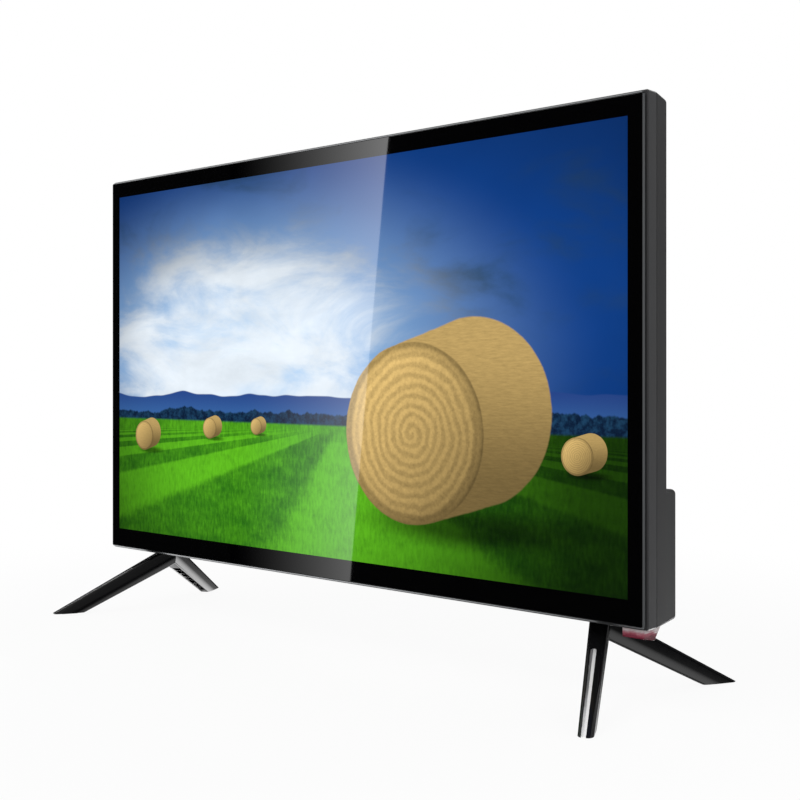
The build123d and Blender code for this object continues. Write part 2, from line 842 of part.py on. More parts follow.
# Smoothing capacitors
capacitor_length = capacitor_length_share * board_room
capacitor_x = transformer_x - transformer_width / 2 - board_side_gap - capacitor_radius
with BuildPart() as capacitors:
    with BuildSketch(at_depth(board_back + capacitor_length)):
        with Locations((capacitor_x - (capacitor_count - 1) * capacitor_pitch / 2, transformer_z)):
            with GridLocations(capacitor_pitch, 0, capacitor_count, 1):
                Circle(capacitor_radius)
    extrude(amount=capacitor_length)
keep(capacitors, "capacitors")

# Heat sink plate of the power switch
power_sink_depth = power_sink_depth_share * board_room
power_sink_x = transformer_x + transformer_width / 2 + board_side_gap
with BuildPart() as power_sink:
    with BuildSketch(at_depth(board_back + power_sink_depth)):
        rectangle_between(power_sink_x, power_sink_x + power_sink_thickness,
                          transformer_z - power_sink_length / 2, transformer_z + power_sink_length / 2)
        rectangle_between(power_sink_x, power_sink_x + power_sink_foot,
                          transformer_z - power_sink_thickness / 2, transformer_z + power_sink_thickness / 2)
    extrude(amount=power_sink_depth)
keep(power_sink, "power_sink")

# Mains inlet for a two-pin lead, with its figure-of-eight hollow and pins
inlet_x = (mains_bay[0] + mains_bay[1]) / 2
inlet_y = depth_y(board_back) + inlet_depth / 2
with BuildPart() as mains_inlet:
    with BuildSketch(at_height(bay_ceiling)):
        on_board(inlet_x, inlet_width, inlet_depth)
    extrude(amount=inlet_height)
    with BuildSketch(at_height(bay_ceiling)):
        with Locations((inlet_x, inlet_y)):
            SlotOverall(inlet_hollow_width, inlet_hollow_depth)
    extrude(amount=inlet_hollow_height, mode=Mode.SUBTRACT)
    with BuildSketch(at_height(bay_ceiling + inlet_hollow_height - inlet_pin_height)):
        with Locations((inlet_x, inlet_y)):
            with GridLocations(inlet_pin_pitch, 0, 2, 1):
                Circle(inlet_pin_radius)
    extrude(amount=inlet_pin_height + metal_wall)
keep(mains_inlet, "mains_inlet")

# Speakers: a flange behind the rear wall, a cone seen through the grille, a basket and a magnet
speaker_depth = speaker_depth_share * (box_inner - pan_back)
cone_depth = cone_depth_share * speaker_depth
magnet_depth = magnet_depth_share * speaker_depth
speaker_x = (speaker_left + speaker_right) / 2
speaker_mid = (cabinet_bottom + box_top) / 2
cone_back = box_inner - cone_depth
basket_front = box_inner - speaker_depth + magnet_depth


def make_speaker(x):
    """One oval speaker, facing the back."""
    with BuildPart() as speaker:
        with BuildSketch(at_depth(box_inner)):
            with Locations((x, speaker_mid)):
                RectangleRounded(speaker_width, speaker_height, speaker_rim)
        extrude(amount=speaker_flange)
        with BuildSketch(at_depth(box_inner - speaker_flange)):
            with Locations((x, speaker_mid)):
                Ellipse(speaker_width / 2 - speaker_rim / 2, speaker_height / 2 - speaker_rim / 2)
        with BuildSketch(at_depth(basket_front)):
            with Locations((x, speaker_mid)):
                Circle(magnet_radius)
        loft()
        with BuildSketch(at_depth(basket_front)):
            with Locations((x, speaker_mid)):
                Circle(magnet_radius)
        extrude(amount=magnet_depth)
        with BuildSketch(at_depth(box_inner)):
            with Locations((x, speaker_mid)):
                Ellipse(speaker_width / 2 - speaker_rim, speaker_height / 2 - speaker_rim)
        with BuildSketch(at_depth(cone_back)):
            with Locations((x, speaker_mid)):
                Circle(magnet_radius / 2)
        loft(mode=Mode.SUBTRACT)
    return speaker


keep(make_speaker(-speaker_x), "left_speaker")
keep(make_speaker(speaker_x), "right_speaker")

# Lens under the corner: a clear prism with a neck that leads the light up to the receiver
lens_right = half_width - lens_side_inset
lens_mid_x = lens_right - lens_width / 2
lens_bottom = cabinet_bottom - lens_height
neck_top = cabinet_bottom + lens_neck_height
with BuildPart() as ir_lens:
    with BuildSketch(Plane.YZ.offset(lens_right - lens_width)):
        with BuildLine():
            Polyline((depth_y(lens_start), cabinet_bottom), (depth_y(frame_depth), cabinet_bottom),
                     (depth_y(lens_top_end), cabinet_bottom + inset_at(lens_top_end)),
                     (depth_y(lens_bottom_end), lens_bottom), (depth_y(lens_start), lens_bottom), close=True)
        make_face()
    extrude(amount=lens_width)
    fillet(ir_lens.faces().sort_by(Axis.Z)[0].edges(), lens_edge_radius)
    with BuildSketch(at_depth(lens_neck_start + lens_neck_depth)):
        rectangle_between(lens_mid_x - lens_neck_width / 2, lens_mid_x + lens_neck_width / 2,
                          cabinet_bottom, neck_top)
    extrude(amount=lens_neck_depth)
keep(ir_lens, "ir_lens")

# Receiver board above the lens, staked to a post of the rear cover
ir_board_bottom = cabinet_bottom + ir_board_rise
ir_post = (lens_mid_x, ir_board_bottom + ir_board_height - ir_post_inset)
with BuildPart() as ir_board:
    with BuildSketch(at_depth(ir_board_front + ir_board_thickness)):
        with Locations((lens_mid_x, ir_board_bottom + ir_board_height / 2)):
            Rectangle(ir_board_width, ir_board_height)
        with Locations(ir_post):
            Circle(stake_radius + stake_gap, mode=Mode.SUBTRACT)
    extrude(amount=ir_board_thickness)
    with BuildSketch(at_depth(ir_board_front)):
        rectangle_between(lens_mid_x - receiver_width / 2, lens_mid_x + receiver_width / 2,
                          neck_top + part_gap, neck_top + part_gap + receiver_height)
    extrude(amount=receiver_depth)
keep(ir_board, "ir_board")

# Keys and the board with their switches
key_x = half_width - key_column_inset
key_z = [box_top + key_column_rise + n * key_pitch for n in range(len(key_names))]
key_flange_back = slab_inner - key_gap
key_flange_front = key_flange_back - key_flange
switch_back = key_flange_front - key_travel - part_gap
switch_floor = switch_back - switch_bore_depth
key_board_back = switch_back - switch_height
key_stem_end = switch_floor + key_travel + switch_floor_gap
key_posts = [(key_x, key_z[0] - key_post_step), (key_x, key_z[-1] + key_post_step)]
with BuildPart() as key_board:
    with BuildSketch(at_depth(key_board_back)):
        rectangle_between(key_x - key_board_width / 2, key_x + key_board_width / 2,
                          key_z[0] - key_board_low_end, key_z[-1] + key_board_end)
        with Locations(*key_posts):
            Circle(stake_radius + stake_gap, mode=Mode.SUBTRACT)
    extrude(amount=key_board_thickness)
    with BuildSketch(at_depth(switch_back)):
        with Locations(*[(key_x, z) for z in key_z]):
            Rectangle(switch_width, switch_width)
    extrude(amount=switch_height)
    with BuildSketch(at_depth(switch_back)):
        with Locations(*[(key_x, z) for z in key_z]):
            Circle(key_stem_radius + switch_bore_gap)
    extrude(amount=switch_bore_depth, mode=Mode.SUBTRACT)
keep(key_board, "key_board")


def make_key(z):
    """One key: a rounded cap, a flange that stops it in the cover, and a stem into its switch."""
    with BuildPart() as key:
        with BuildSketch(at_depth(slab_depth + key_rise)):
            with Locations((key_x, z)):
                SlotOverall(key_width, key_height)
        extrude(amount=slab_depth + key_rise - key_flange_back)
        with BuildSketch(at_depth(key_flange_back)):
            with Locations((key_x, z)):
                Rectangle(key_width + 2 * key_flange_extra, key_height + 2 * key_flange_extra)
        extrude(amount=key_flange)
        with BuildSketch(at_depth(key_flange_front)):
            with Locations((key_x, z)):
                Circle(key_stem_radius)
        extrude(amount=key_flange_front - key_stem_end)
    return key


for key_name, z in zip(key_names, key_z):
    keep(make_key(z), f"key_{key_name}")


# Flat leads, all in one plane behind the boards
lead_front = board_back + 2 * lead_thickness
magnet_front = basket_front - magnet_depth
plug_rows = [board_top - plug_height / 2 - part_gap - n * plug_row for n in range(3)]
near_plug_x = board_left + 2 * board_hole_inset + plug_width / 2
far_plug_x = board_right - 2 * board_hole_inset - plug_width / 2
ir_plug_z = neck_top + receiver_height + plug_height / 2 + 2 * part_gap


def make_lead(route, ends):
    """A flat lead along a route, with a plug at each end between two depths."""
    with BuildPart() as lead:
        with BuildSketch(at_depth(lead_front + lead_thickness)):
            with BuildLine():
                if len(route) > 2:
                    FilletPolyline(*route, radius=lead_bend)
                else:
                    Line(*route)
            trace(line_width=lead_width)
        extrude(amount=lead_thickness)
        for place, (front, back) in zip((route[0], route[-1]), ends):
            with BuildSketch(at_depth(back)):
                with Locations(place):
                    Rectangle(plug_width, plug_height)
            extrude(amount=back - front)
    return lead


on_main_board = (board_back, board_back + plug_thickness)
on_speaker = (lead_front, magnet_front)
on_key_board = (key_board_back, key_board_back + plug_thickness)
on_ir_board = (ir_board_front - plug_thickness, ir_board_front)
power_route = [(-near_plug_x, plug_rows[1]), (near_plug_x, plug_rows[1])]
right_speaker_route = [(far_plug_x, plug_rows[2]), (speaker_x, plug_rows[2])]
left_speaker_route = [(near_plug_x, plug_rows[0]), (-speaker_x, plug_rows[0]), (-speaker_x, plug_rows[2])]
key_route = [(far_plug_x, plug_rows[0]), (key_x, plug_rows[0]), (key_x, key_z[0] - key_plug_drop)]
ir_route = [(far_plug_x, plug_rows[1]), (lens_mid_x, plug_rows[1]), (lens_mid_x, ir_plug_z)]
keep(make_lead(power_route, (on_main_board, on_main_board)), "power_lead")
keep(make_lead(right_speaker_route, (on_main_board, on_speaker)), "right_speaker_lead")
keep(make_lead(left_speaker_route, (on_main_board, on_speaker)), "left_speaker_lead")
keep(make_lead(key_route, (on_main_board, on_key_board)), "key_lead")
keep(make_lead(ir_route, (on_main_board, on_ir_board)), "ir_lead")


def tapered_block(near, far, top, top_draft_share, wall, corners):
    """Solid as wide as the cover between two depths, drawn in by the draft and by a wall."""
    with BuildPart() as block:
        for depth, corner in zip((near, far), corners):
            side = half_width - inset_at(depth) - wall
            ceiling = top - top_draft_share * (depth - frame_depth) - wall
            with BuildSketch(at_depth(depth)) as outline:
                rectangle_between(-side, side, cabinet_bottom + inset_at(depth) + wall, ceiling)
                if corner:
                    fillet(outline.vertices(), corner)
        loft()
    return block


# Rear cover, outside: the slab, the lower box, and flat seats for the stands
slab_corners = (frame_corner, slab_edge_radius + glass_corner)
box_corners = (frame_corner, box_edge_radius + glass_corner)
socket_front = stand_depth - tongue_depth / 2 - tongue_gap - socket_wall
socket_top = cabinet_bottom + tongue_height + tongue_gap + socket_wall
with BuildPart() as cover_outside:
    add(tapered_block(frame_depth, slab_depth, cabinet_top, slab_top_draft_share, 0, slab_corners).part)
    fillet(cover_outside.faces().sort_by(Axis.Y)[-1].edges(), slab_edge_radius)
with BuildPart() as box_outside:
    add(tapered_block(frame_depth, box_depth, box_top, draft_share, 0, box_corners).part)
    fillet(box_outside.faces().sort_by(Axis.Y)[-1].edges(), box_edge_radius)
with BuildPart() as seat_pads:
    with BuildSketch(at_height(cabinet_bottom)):
        for side in (-1, 1):
            rectangle_between(side * apex_x - socket_block_half, side * apex_x + socket_block_half,
                              depth_y(socket_front), -depth_y(socket_front))
    extrude(amount=cover_wall)

# Rear cover, inside: the hollow less all that stands in it
tube_front = pan_back + cover_stud_height + part_gap
bay_front = board_back - bay_front_gap
with BuildPart() as cover_hollow:
    add(tapered_block(frame_depth - overrun, slab_inner, cabinet_top, slab_top_draft_share, cover_wall,
                      (0, 0)).part)
    add(tapered_block(frame_depth - overrun, box_inner, box_top, draft_share, cover_wall, (0, 0)).part)
    with BuildSketch(at_depth(box_depth)):
        for side in (-1, 1):
            rectangle_between(side * apex_x - socket_block_half, side * apex_x + socket_block_half,
                              cabinet_bottom, socket_top)
    extrude(amount=box_depth - socket_front, mode=Mode.SUBTRACT)
    with BuildSketch(at_depth(box_depth)):
        for bay in bays:
            rectangle_between(bay[0] - bay_wall, bay[1] + bay_wall, cabinet_bottom, bay_ceiling + bay_wall)
    extrude(amount=box_depth - bay_front + bay_wall, mode=Mode.SUBTRACT)
    with BuildSketch(at_depth(box_depth)):
        with Locations(*slab_screws, *box_screws):
            Circle(cover_tube_radius)
    extrude(amount=box_depth - tube_front, mode=Mode.SUBTRACT)
    with BuildSketch(at_depth(box_depth)):
        with Locations(*key_posts):
            Circle(key_post_radius)
    extrude(amount=box_depth - key_board_back, mode=Mode.SUBTRACT)
    with BuildSketch(at_depth(box_depth)):
        with Locations(ir_post):
            Circle(key_post_radius)
    extrude(amount=box_depth - ir_board_front - ir_board_thickness, mode=Mode.SUBTRACT)
    with BuildSketch(at_depth(box_depth)):
        with Locations(*key_posts):
            Circle(stake_radius)
    extrude(amount=box_depth - key_board_back + stake_length, mode=Mode.SUBTRACT)
    with BuildSketch(at_depth(box_depth)):
        with Locations(ir_post):
            Circle(stake_radius)
    extrude(amount=box_depth - ir_board_front - ir_board_thickness + stake_length, mode=Mode.SUBTRACT)

# Rear cover with its holes
cover_seat = tube_front + cover_screw_seat
stand_screw_z = [cabinet_bottom + stand_screw_first + n * stand_screw_pitch for n in range(2)]
stand_screw_places = [(side * apex_x, z) for side in (-1, 1) for z in stand_screw_z]
stand_seat = stand_depth + tongue_depth / 2 + tongue_gap + stand_screw_seat
vent_top = cabinet_top - vent_top_drop
vent_low = box_top + vent_low_rise
grille_count = int((speaker_width - 2 * speaker_rim) / grille_pitch)
grille_length = speaker_height - 4 * speaker_rim
with BuildPart() as rear_cover:
    add(cover_outside.part)
    add(box_outside.part)
    add(seat_pads.part)
    add(cover_hollow.part, mode=Mode.SUBTRACT)
    # Sockets for the tongues of the stands, and their screws
    with BuildSketch(at_height(cabinet_bottom - overrun)):
        with Locations(*[(side * apex_x, 0) for side in (-1, 1)]):
            Rectangle(tongue_width + 2 * tongue_gap, tongue_depth + 2 * tongue_gap)
    extrude(amount=overrun + tongue_height + tongue_gap, mode=Mode.SUBTRACT)
    with BuildSketch(at_depth(box_depth + overrun)):
        with Locations(*stand_screw_places):
            Circle(stand_screw_radius + cover_screw_clear)
    extrude(amount=box_depth + overrun - stand_depth, mode=Mode.SUBTRACT)
    with BuildSketch(at_depth(box_depth + overrun)):
        with Locations(*stand_screw_places):
            Circle(stand_screw_head_radius + cover_screw_clear)
    extrude(amount=box_depth + overrun - stand_seat, mode=Mode.SUBTRACT)
    # Wells and holes for the cover screws
    with BuildSketch(at_depth(box_depth + overrun)):
        with Locations(*slab_screws, *box_screws):
            Circle(cover_well_radius)
    extrude(amount=box_depth + overrun - cover_seat, mode=Mode.SUBTRACT)
    with BuildSketch(at_depth(box_depth + overrun)):
        with Locations(*slab_screws, *box_screws):
            Circle(cover_screw_radius + cover_screw_clear)
    extrude(amount=box_depth + overrun - frame_front, mode=Mode.SUBTRACT)
    # Socket bays, and the cut-outs in their ceilings
    with BuildSketch(at_depth(box_depth + overrun)):
        for bay in bays:
            rectangle_between(bay[0], bay[1], cabinet_bottom - overrun, bay_ceiling)
    extrude(amount=box_depth + overrun - bay_front, mode=Mode.SUBTRACT)
    with BuildSketch(at_height(bay_ceiling)):
        with Locations((socket_x["antenna"], antenna_y)):
            Circle(antenna_radius + socket_cut_gap)
        with Locations(*[(x, phono_y) for x in phono_x]):
            Circle(phono_radius + socket_cut_gap)
        for name, depth in (("headphone", headphone_width), ("vga", vga_depth),
                            ("hdmi", hdmi_depth), ("usb", usb_depth)):
            with Locations((socket_x[name], depth_y(board_back) + depth / 2)):
                Rectangle(socket_widths[name] + 2 * socket_cut_gap, depth + 2 * socket_cut_gap)
        with Locations((inlet_x, inlet_y)):
            Rectangle(inlet_width + 2 * socket_cut_gap, inlet_depth + 2 * socket_cut_gap)
    extrude(amount=bay_wall, mode=Mode.SUBTRACT)
    # Openings for the keys and the wall mount
    with BuildSketch(at_depth(slab_depth + overrun)):
        with Locations(*[(key_x, z) for z in key_z]):
            SlotOverall(key_width + 2 * key_gap, key_height + 2 * key_gap)
        with Locations(*vesa_places):
            Circle(vesa_hole_radius)
    extrude(amount=cover_wall + 2 * overrun - part_gap, mode=Mode.SUBTRACT)
    # Vents above the box and under the top edge
    with BuildSketch(at_depth(slab_depth + overrun)):
        with Locations((0, vent_top - vent_length / 2)):
            with GridLocations(vent_pitch, 0, vent_count, 1):
                Rectangle(vent_slot, vent_length)
        with Locations((0, vent_low + vent_low_length / 2)):
            with GridLocations(vent_pitch, 0, vent_count, 1):
                Rectangle(vent_slot, vent_low_length)
    extrude(amount=cover_wall + overrun + part_gap, mode=Mode.SUBTRACT)
    # Speaker grilles in the rear wall of the box
    with BuildSketch(at_depth(box_depth + overrun)):
        for side in (-1, 1):
            with Locations((side * speaker_x, speaker_mid)):
                with GridLocations(grille_pitch, 0, grille_count, 1):
                    Rectangle(grille_slot, grille_length)
    extrude(amount=cover_wall + overrun, mode=Mode.SUBTRACT)
    # Floor vents and the hole for the neck of the lens
    with BuildSketch(at_height(cabinet_bottom)):
        with Locations((transformer_x, 0)):
            with GridLocations(floor_vent_pitch, 0, floor_vent_count, 1):
                Rectangle(floor_vent_slot, floor_vent_length)
        rectangle_between(lens_mid_x - lens_neck_width / 2 - lens_neck_gap,
                          lens_mid_x + lens_neck_width / 2 + lens_neck_gap,
                          depth_y(lens_neck_start) - lens_neck_gap,
                          depth_y(lens_neck_start) + lens_neck_depth + lens_neck_gap)
    extrude(amount=2 * cover_wall, mode=Mode.SUBTRACT)
keep(rear_cover, "rear_cover")

# Screws of the cover and the stands
keep(make_screws(slab_screws + box_screws, cover_seat, cover_screw_head_radius, cover_screw_head_height,
                 cover_screw_radius, pan_back), "cover_screws")
keep(make_screws(stand_screw_places, stand_seat, stand_screw_head_radius, stand_screw_head_height,
                 stand_screw_radius, stand_depth + tongue_depth / 2 - stand_screw_bite), "stand_screws")

# Stands: the middle line of a leg runs from the apex under the cabinet to the foot on the floor
apex = Vector(apex_x, 0, cabinet_bottom - apex_drop)
foot = Vector(foot_x, -foot_y, 0)
leg_line = foot - apex
leg_axis = leg_line.normalized()
leg_side = Vector(0, 0, 1).cross(leg_axis).normalized()
leg_run = hypot(leg_line.X, leg_line.Y)
leg_turn = Vector(leg_line.X, leg_line.Y, 0).normalized()
leg_slope = atan2(-leg_line.Z, leg_run)


def leg_width(share):
    """Width of a leg at a share of its length."""
    return leg_width_top + (leg_width_foot - leg_width_top) * share


def leg_height(share):
    """Height of a leg's section at a share of its length."""
    return leg_height_top + (leg_height_foot - leg_height_top) * share


def leg_plane(share):
    """Plane square to a leg at a share of its length, with x across the leg and y up."""
    return Plane(origin=apex + leg_line * share, x_dir=leg_side, z_dir=leg_axis)


# Hollow of a leg, open underneath, with cross ribs left standing
rib_step = (cavity_shares[1] - cavity_shares[0]) / (leg_ribs + 1)
with BuildPart() as leg_hollow:
    for share in cavity_shares:
        with BuildSketch(leg_plane(share)):
            rectangle_between(-leg_width(share) / 2 + leg_wall, leg_width(share) / 2 - leg_wall,
                              -leg_height(share) / 2 - overrun, leg_height(share) / 2 - leg_wall)
    loft()
    for n in range(leg_ribs):
        share = cavity_shares[0] + (n + 1) * rib_step
        with BuildSketch(leg_plane(share)):
            rectangle_between(-leg_width_top, leg_width_top,
                              -leg_height(share) / 2 + leg_rib_recess, leg_height_top)
        extrude(amount=leg_rib / 2, both=True, mode=Mode.SUBTRACT)

# Front leg of the right stand: crowned above, with a shallow flute and a rounded tip
flute_start = leg_plane(flute_start_share).origin + leg_plane(0).y_dir * leg_height(flute_start_share) / 2
flute_end = leg_plane(1).origin + leg_plane(0).y_dir * leg_height(1) / 2
flute_axis = (flute_end - flute_start).normalized()
flute_plane = Plane(origin=flute_start, x_dir=flute_axis, z_dir=flute_axis.cross(leg_side))
flute_length = (flute_end - flute_start).length + leg_height_top
tip_reach = leg_height_foot / 2 / sin(leg_slope)
tip_radius = leg_width(1 + tip_reach / leg_run) / (2 - (leg_width_top - leg_width_foot) / leg_run)
tip_plane = Plane(origin=foot + leg_turn * (tip_reach - tip_radius), x_dir=leg_turn, z_dir=(0, 0, 1))
pad_plane = Plane(origin=foot - leg_turn * pad_shift, x_dir=leg_turn, z_dir=(0, 0, 1))
with BuildPart() as leg:
    for share in leg_end_shares:
        with BuildSketch(leg_plane(share)) as section:
            Rectangle(leg_width(share), leg_height(share))
            fillet(section.vertices().group_by(Axis.Y)[-1], leg_crown_share * leg_width(share))
            fillet(section.vertices().group_by(Axis.Y)[0], leg_lower_share * leg_width(share))
    loft()
    add(leg_hollow.part, mode=Mode.SUBTRACT)
    with BuildSketch(flute_plane):
        with Locations((flute_length / 2, flute_offset_share * leg_width_top)):
            SlotOverall(flute_length, flute_width)
    extrude(amount=-flute_depth, mode=Mode.SUBTRACT)
    split(bisect_by=Plane.XZ, keep=Keep.TOP)
    split(bisect_by=at_height(pad_rise), keep=Keep.TOP)
    split(bisect_by=at_height(cabinet_bottom), keep=Keep.BOTTOM)
    with BuildSketch(tip_plane):
        with Locations((leg_width_top, 0)):
            Rectangle(2 * leg_width_top, 2 * leg_width_top)
        Circle(tip_radius, mode=Mode.SUBTRACT)
    extrude(amount=leg_height_top, mode=Mode.SUBTRACT)
    with BuildSketch(pad_plane):
        SlotOverall(pad_length + 2 * pad_gap, pad_width + 2 * pad_gap)
    extrude(amount=pad_thickness, mode=Mode.SUBTRACT)

# Right stand: both legs and the tongue that goes up into the cover
with BuildPart() as right_stand:
    add(leg.part)
    mirror(leg.part, about=Plane.XZ)
    with BuildSketch(at_height(cabinet_bottom - tongue_root)):
        with Locations((apex_x, 0)):
            Rectangle(tongue_width * tongue_root_share, tongue_depth * tongue_root_share)
    extrude(amount=tongue_root)
    with BuildSketch(at_height(cabinet_bottom)):
        with Locations((apex_x, 0)):
            Rectangle(tongue_width, tongue_depth)
    extrude(amount=tongue_height)
    chamfer(right_stand.faces().sort_by(Axis.Z)[-1].edges(), tongue_lead)
    with BuildSketch(at_depth(stand_depth + tongue_depth / 2)):
        with Locations(*[(apex_x, z) for z in stand_screw_z]):
            Circle(stand_screw_radius)
    extrude(amount=stand_screw_bite, mode=Mode.SUBTRACT)
keep(right_stand, "right_stand")

# Left stand, the mirror image
with BuildPart() as left_stand:
    mirror(right_stand.part, about=Plane.YZ)
keep(left_stand, "left_stand")

# Rubber pads under the four feet
with BuildPart() as foot_pads:
    with BuildSketch(pad_plane):
        SlotOverall(pad_length, pad_width)
    extrude(amount=pad_thickness)
    mirror(about=Plane.XZ)
    mirror(about=Plane.YZ)
keep(foot_pads, "foot_pads")
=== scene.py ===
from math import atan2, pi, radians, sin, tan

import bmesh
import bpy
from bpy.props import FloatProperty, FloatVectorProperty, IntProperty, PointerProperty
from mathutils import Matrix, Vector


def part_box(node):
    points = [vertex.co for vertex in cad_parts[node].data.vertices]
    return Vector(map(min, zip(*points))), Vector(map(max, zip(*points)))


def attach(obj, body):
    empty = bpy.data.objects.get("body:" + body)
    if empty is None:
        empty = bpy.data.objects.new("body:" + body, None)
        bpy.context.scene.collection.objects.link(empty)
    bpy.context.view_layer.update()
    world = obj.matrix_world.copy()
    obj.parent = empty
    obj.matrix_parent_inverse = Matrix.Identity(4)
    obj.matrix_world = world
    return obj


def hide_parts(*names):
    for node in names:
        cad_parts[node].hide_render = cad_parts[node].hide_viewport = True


bl_info = {
    "name": "Flat Screen Television",
    "version": (1, 0, 0),
    "blender": (4, 5, 0),
    "location": "3D View > Sidebar > Television",
    "description": "Dresses a flat screen television around its packed frame",
    "category": "Object",
}

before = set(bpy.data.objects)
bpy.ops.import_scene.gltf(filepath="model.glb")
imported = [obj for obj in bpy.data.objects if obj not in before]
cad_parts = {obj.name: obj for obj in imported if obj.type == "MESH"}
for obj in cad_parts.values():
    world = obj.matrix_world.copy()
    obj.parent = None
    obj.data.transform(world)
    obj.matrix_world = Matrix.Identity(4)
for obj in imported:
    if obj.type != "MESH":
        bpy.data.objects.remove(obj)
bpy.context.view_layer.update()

MM = 0.001
HERE = 1e-6  # how near a corner has to be to count as there
NUDGE = 0.02 * MM  # keeps faces apart that would share a plane
OVERLAP = 0.1 * MM  # how far joined parts reach into each other
PAST = 5 * MM  # how far cutters reach past the cover
ALMOST_ROUND, FLUTE_ROUND = 0.98, 0.97  # shares of half a width that round an end
VENT_ROUND, GRILLE_ROUND = 0.3, 0.45  # shares of a slot's width that round its ends
EVEN = (1, 1, 1)  # a pattern that isn't stretched
SMALL_RADII = {"trim": 0.0001, "frame": 0.00012, "key": 0.00008, "lens": 0.00008, "stand": 0.0003}
KEYS = ("power", "source", "menu", "channel_up", "channel_down", "volume_up", "volume_down")
GLASS_LOW, GLASS_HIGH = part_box("front_glass")
TRIM_LOW, TRIM_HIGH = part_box("trim_ring")
FRAME_LOW, FRAME_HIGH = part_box("side_frame")
COVER_LOW, COVER_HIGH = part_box("rear_cover")
STAND_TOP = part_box("right_stand")[1].z
LENS_LOW, LENS_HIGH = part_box("ir_lens")
FRONT = GLASS_LOW.y

# Small sizes of the glass, the trim and the side frame
GLASS_EDGE, GLASS_DEPTH, TRIM_DEPTH, GROOVE_DEPTH = 0.00035, 0.0020, 0.0012, 0.0006
LEDGE_WIDTH, SKIRT_INSET, LIP_GAP, LIP_WIDTH, LIP_DEPTH = 0.0060, 0.0017, 0.0005, 0.0015, 0.0020

# Small sizes of the cover
SEAM_EDGE, HOLE_EDGE, BAY_WALL, POST_RADIUS, TUBE_RADIUS = 0.0005, 0.00025, 0.0020, 0.0026, 0.0050
WELL_RADIUS, WELL_FLOOR, STAND_WELL_RADIUS, WALL_HOLE_RADIUS = 0.0034, 0.0168, 0.0038, 0.0040

# Small sizes of the keys and the lens
KEY_GAP, KEY_EDGE, KEY_RIM, KEY_DISH, LENS_EDGE = 0.00025, 0.0006, 0.0009, 0.0002, 0.0012

# Small sizes of the stands: ribs, flutes, tongues, their sockets and pads
RIB_RECESS, FLUTE_FOLD, FLUTE_FOLD_SHARE, TONGUE_WIDTH = 0.0006, 0.0004, 0.4, 0.014
TONGUE_DEPTH, TONGUE_GAP, TONGUE_EDGE, SOCKET_WALL = 0.010, 0.00025, 0.0012, 0.0024
PAD_LENGTH, PAD_WIDTH, PAD_HEIGHT, PAD_RISE, PAD_SHIFT = 0.0152, 0.0052, 0.002, 0.0006, 0.0025

# Places on the back, as x and z in metres, worked out with the solids
COVER_SCREWS = [(side * x, z) for side in (-1, 1) for x, z in
                ((0.2094, 0.3361), (0.0698, 0.3361), (0.2295, 0.26425), (0.2540, 0.1004))] + [(0, 0.1055)]
STAND_SCREWS = [(side * 0.2234, z) for side in (-1, 1) for z in (0.0632, 0.0722)]
STAND_WELL_FLOOR, SCREW_HOLE, STAND_SCREW_HOLE = 8.25 * MM, 1.7 * MM, 2.2 * MM
TUBE_GAP = 0.9 * MM
WALL_HOLES = [(x, z) for x in (-0.05, 0.05) for z in (0.16425, 0.26425)]
KEY_POSTS, KEY_POST_FRONT, KEY_STEM = [(0.252, 0.1461), (0.252, 0.2351)], FRONT + 18.45 * MM, 1.6 * MM
RECEIVER_POST, RECEIVER_POST_FRONT = (0.2623, 0.0794), FRONT + 24.7 * MM
SPEAKER_X, SPEAKER_Z = 0.18873, 0.0934
VENT_ROWS = ((0.3441, 0.3621), (0.1406, 0.1556))

# Bays, and holes in their ceilings and in the floor, as x and y
BAYS = [(0.01055, 0.16216), (-0.16062, -0.12349)]
BAY_FRONT, BAY_CEILING = -0.0119, 0.0800
SOCKETS = ("headphone_socket", "vga_socket", "hdmi_socket", "usb_socket", "mains_inlet")
ROUND_SOCKETS = ((0.02109, 0.005), (0.03664, 0.0041), (0.04964, 0.0041), (0.06264, 0.0041))
ROUND_SOCKET_Y, SOCKET_GAP = -0.0049, 0.4 * MM
LENS_HOLE = (0.2581, FRONT + 16.8 * MM), (0.2665, FRONT + 22.2 * MM)
FLOOR_VENT = (-0.0857, -0.005), (-0.0837, 0.005)
FLOOR_VENTS, FLOOR_VENT_PITCH = 9, 0.005

# The stands' legs: ends as shares of a leg, levels below its middle, and what is cut off past its tip
LEG_ENDS, FLUTE_END, LOW_EDGES, ROOT_DEPTH = (-0.2, 1.25), 1.4, -5 * MM, 4 * MM
CURVE_LEVELS = (0, 0.15, 0.3, 0.45, 0.6)
PAST_TIP = (0, -0.013, -0.004), (0.026, 0.013, 0.0156)

# The lens: depths behind the glass of its body, of the back of its bottom and of its neck
LENS_FRONT, LENS_FOOT, LENS_BACK = 3 * MM, 16 * MM, 23.5 * MM
NECK_FRONT, NECK_BACK, NECK_INSET = 17 * MM, 22 * MM, 3.6 * MM

# What gloss sees round the object: directions, the cosines where each starts and is full, and its level
GLOSS_DARK = 0.01
GLOSS_LIGHTS = (
    ((0.50, 0.866, 0), 0.80, 0.97, 0.5),  # behind on the right
    ((0.82, -0.57, 0), 0.92, 0.985, 0.8),  # in front on the right
    ((0, 0.80, -0.60), 0.86, 0.99, 8.5),  # low behind
    ((0.85, 0.06, -0.52), 0.94, 1.00, 4.5),  # low on the right
    ((-0.62, 0.10, 0.78), 0.80, 0.95, 1.5),  # above on the left
    ((0.05, 0.45, 0.89), 0.95, 0.99, 1.7),  # above, for the silver strips that paint the legs' highlight
    ((-0.85, 0.10, -0.50), 0.87, 0.985, 2.1),  # low on the left
    ((0, 0, -1), 0.40, 0.75, 0.75),  # below
)

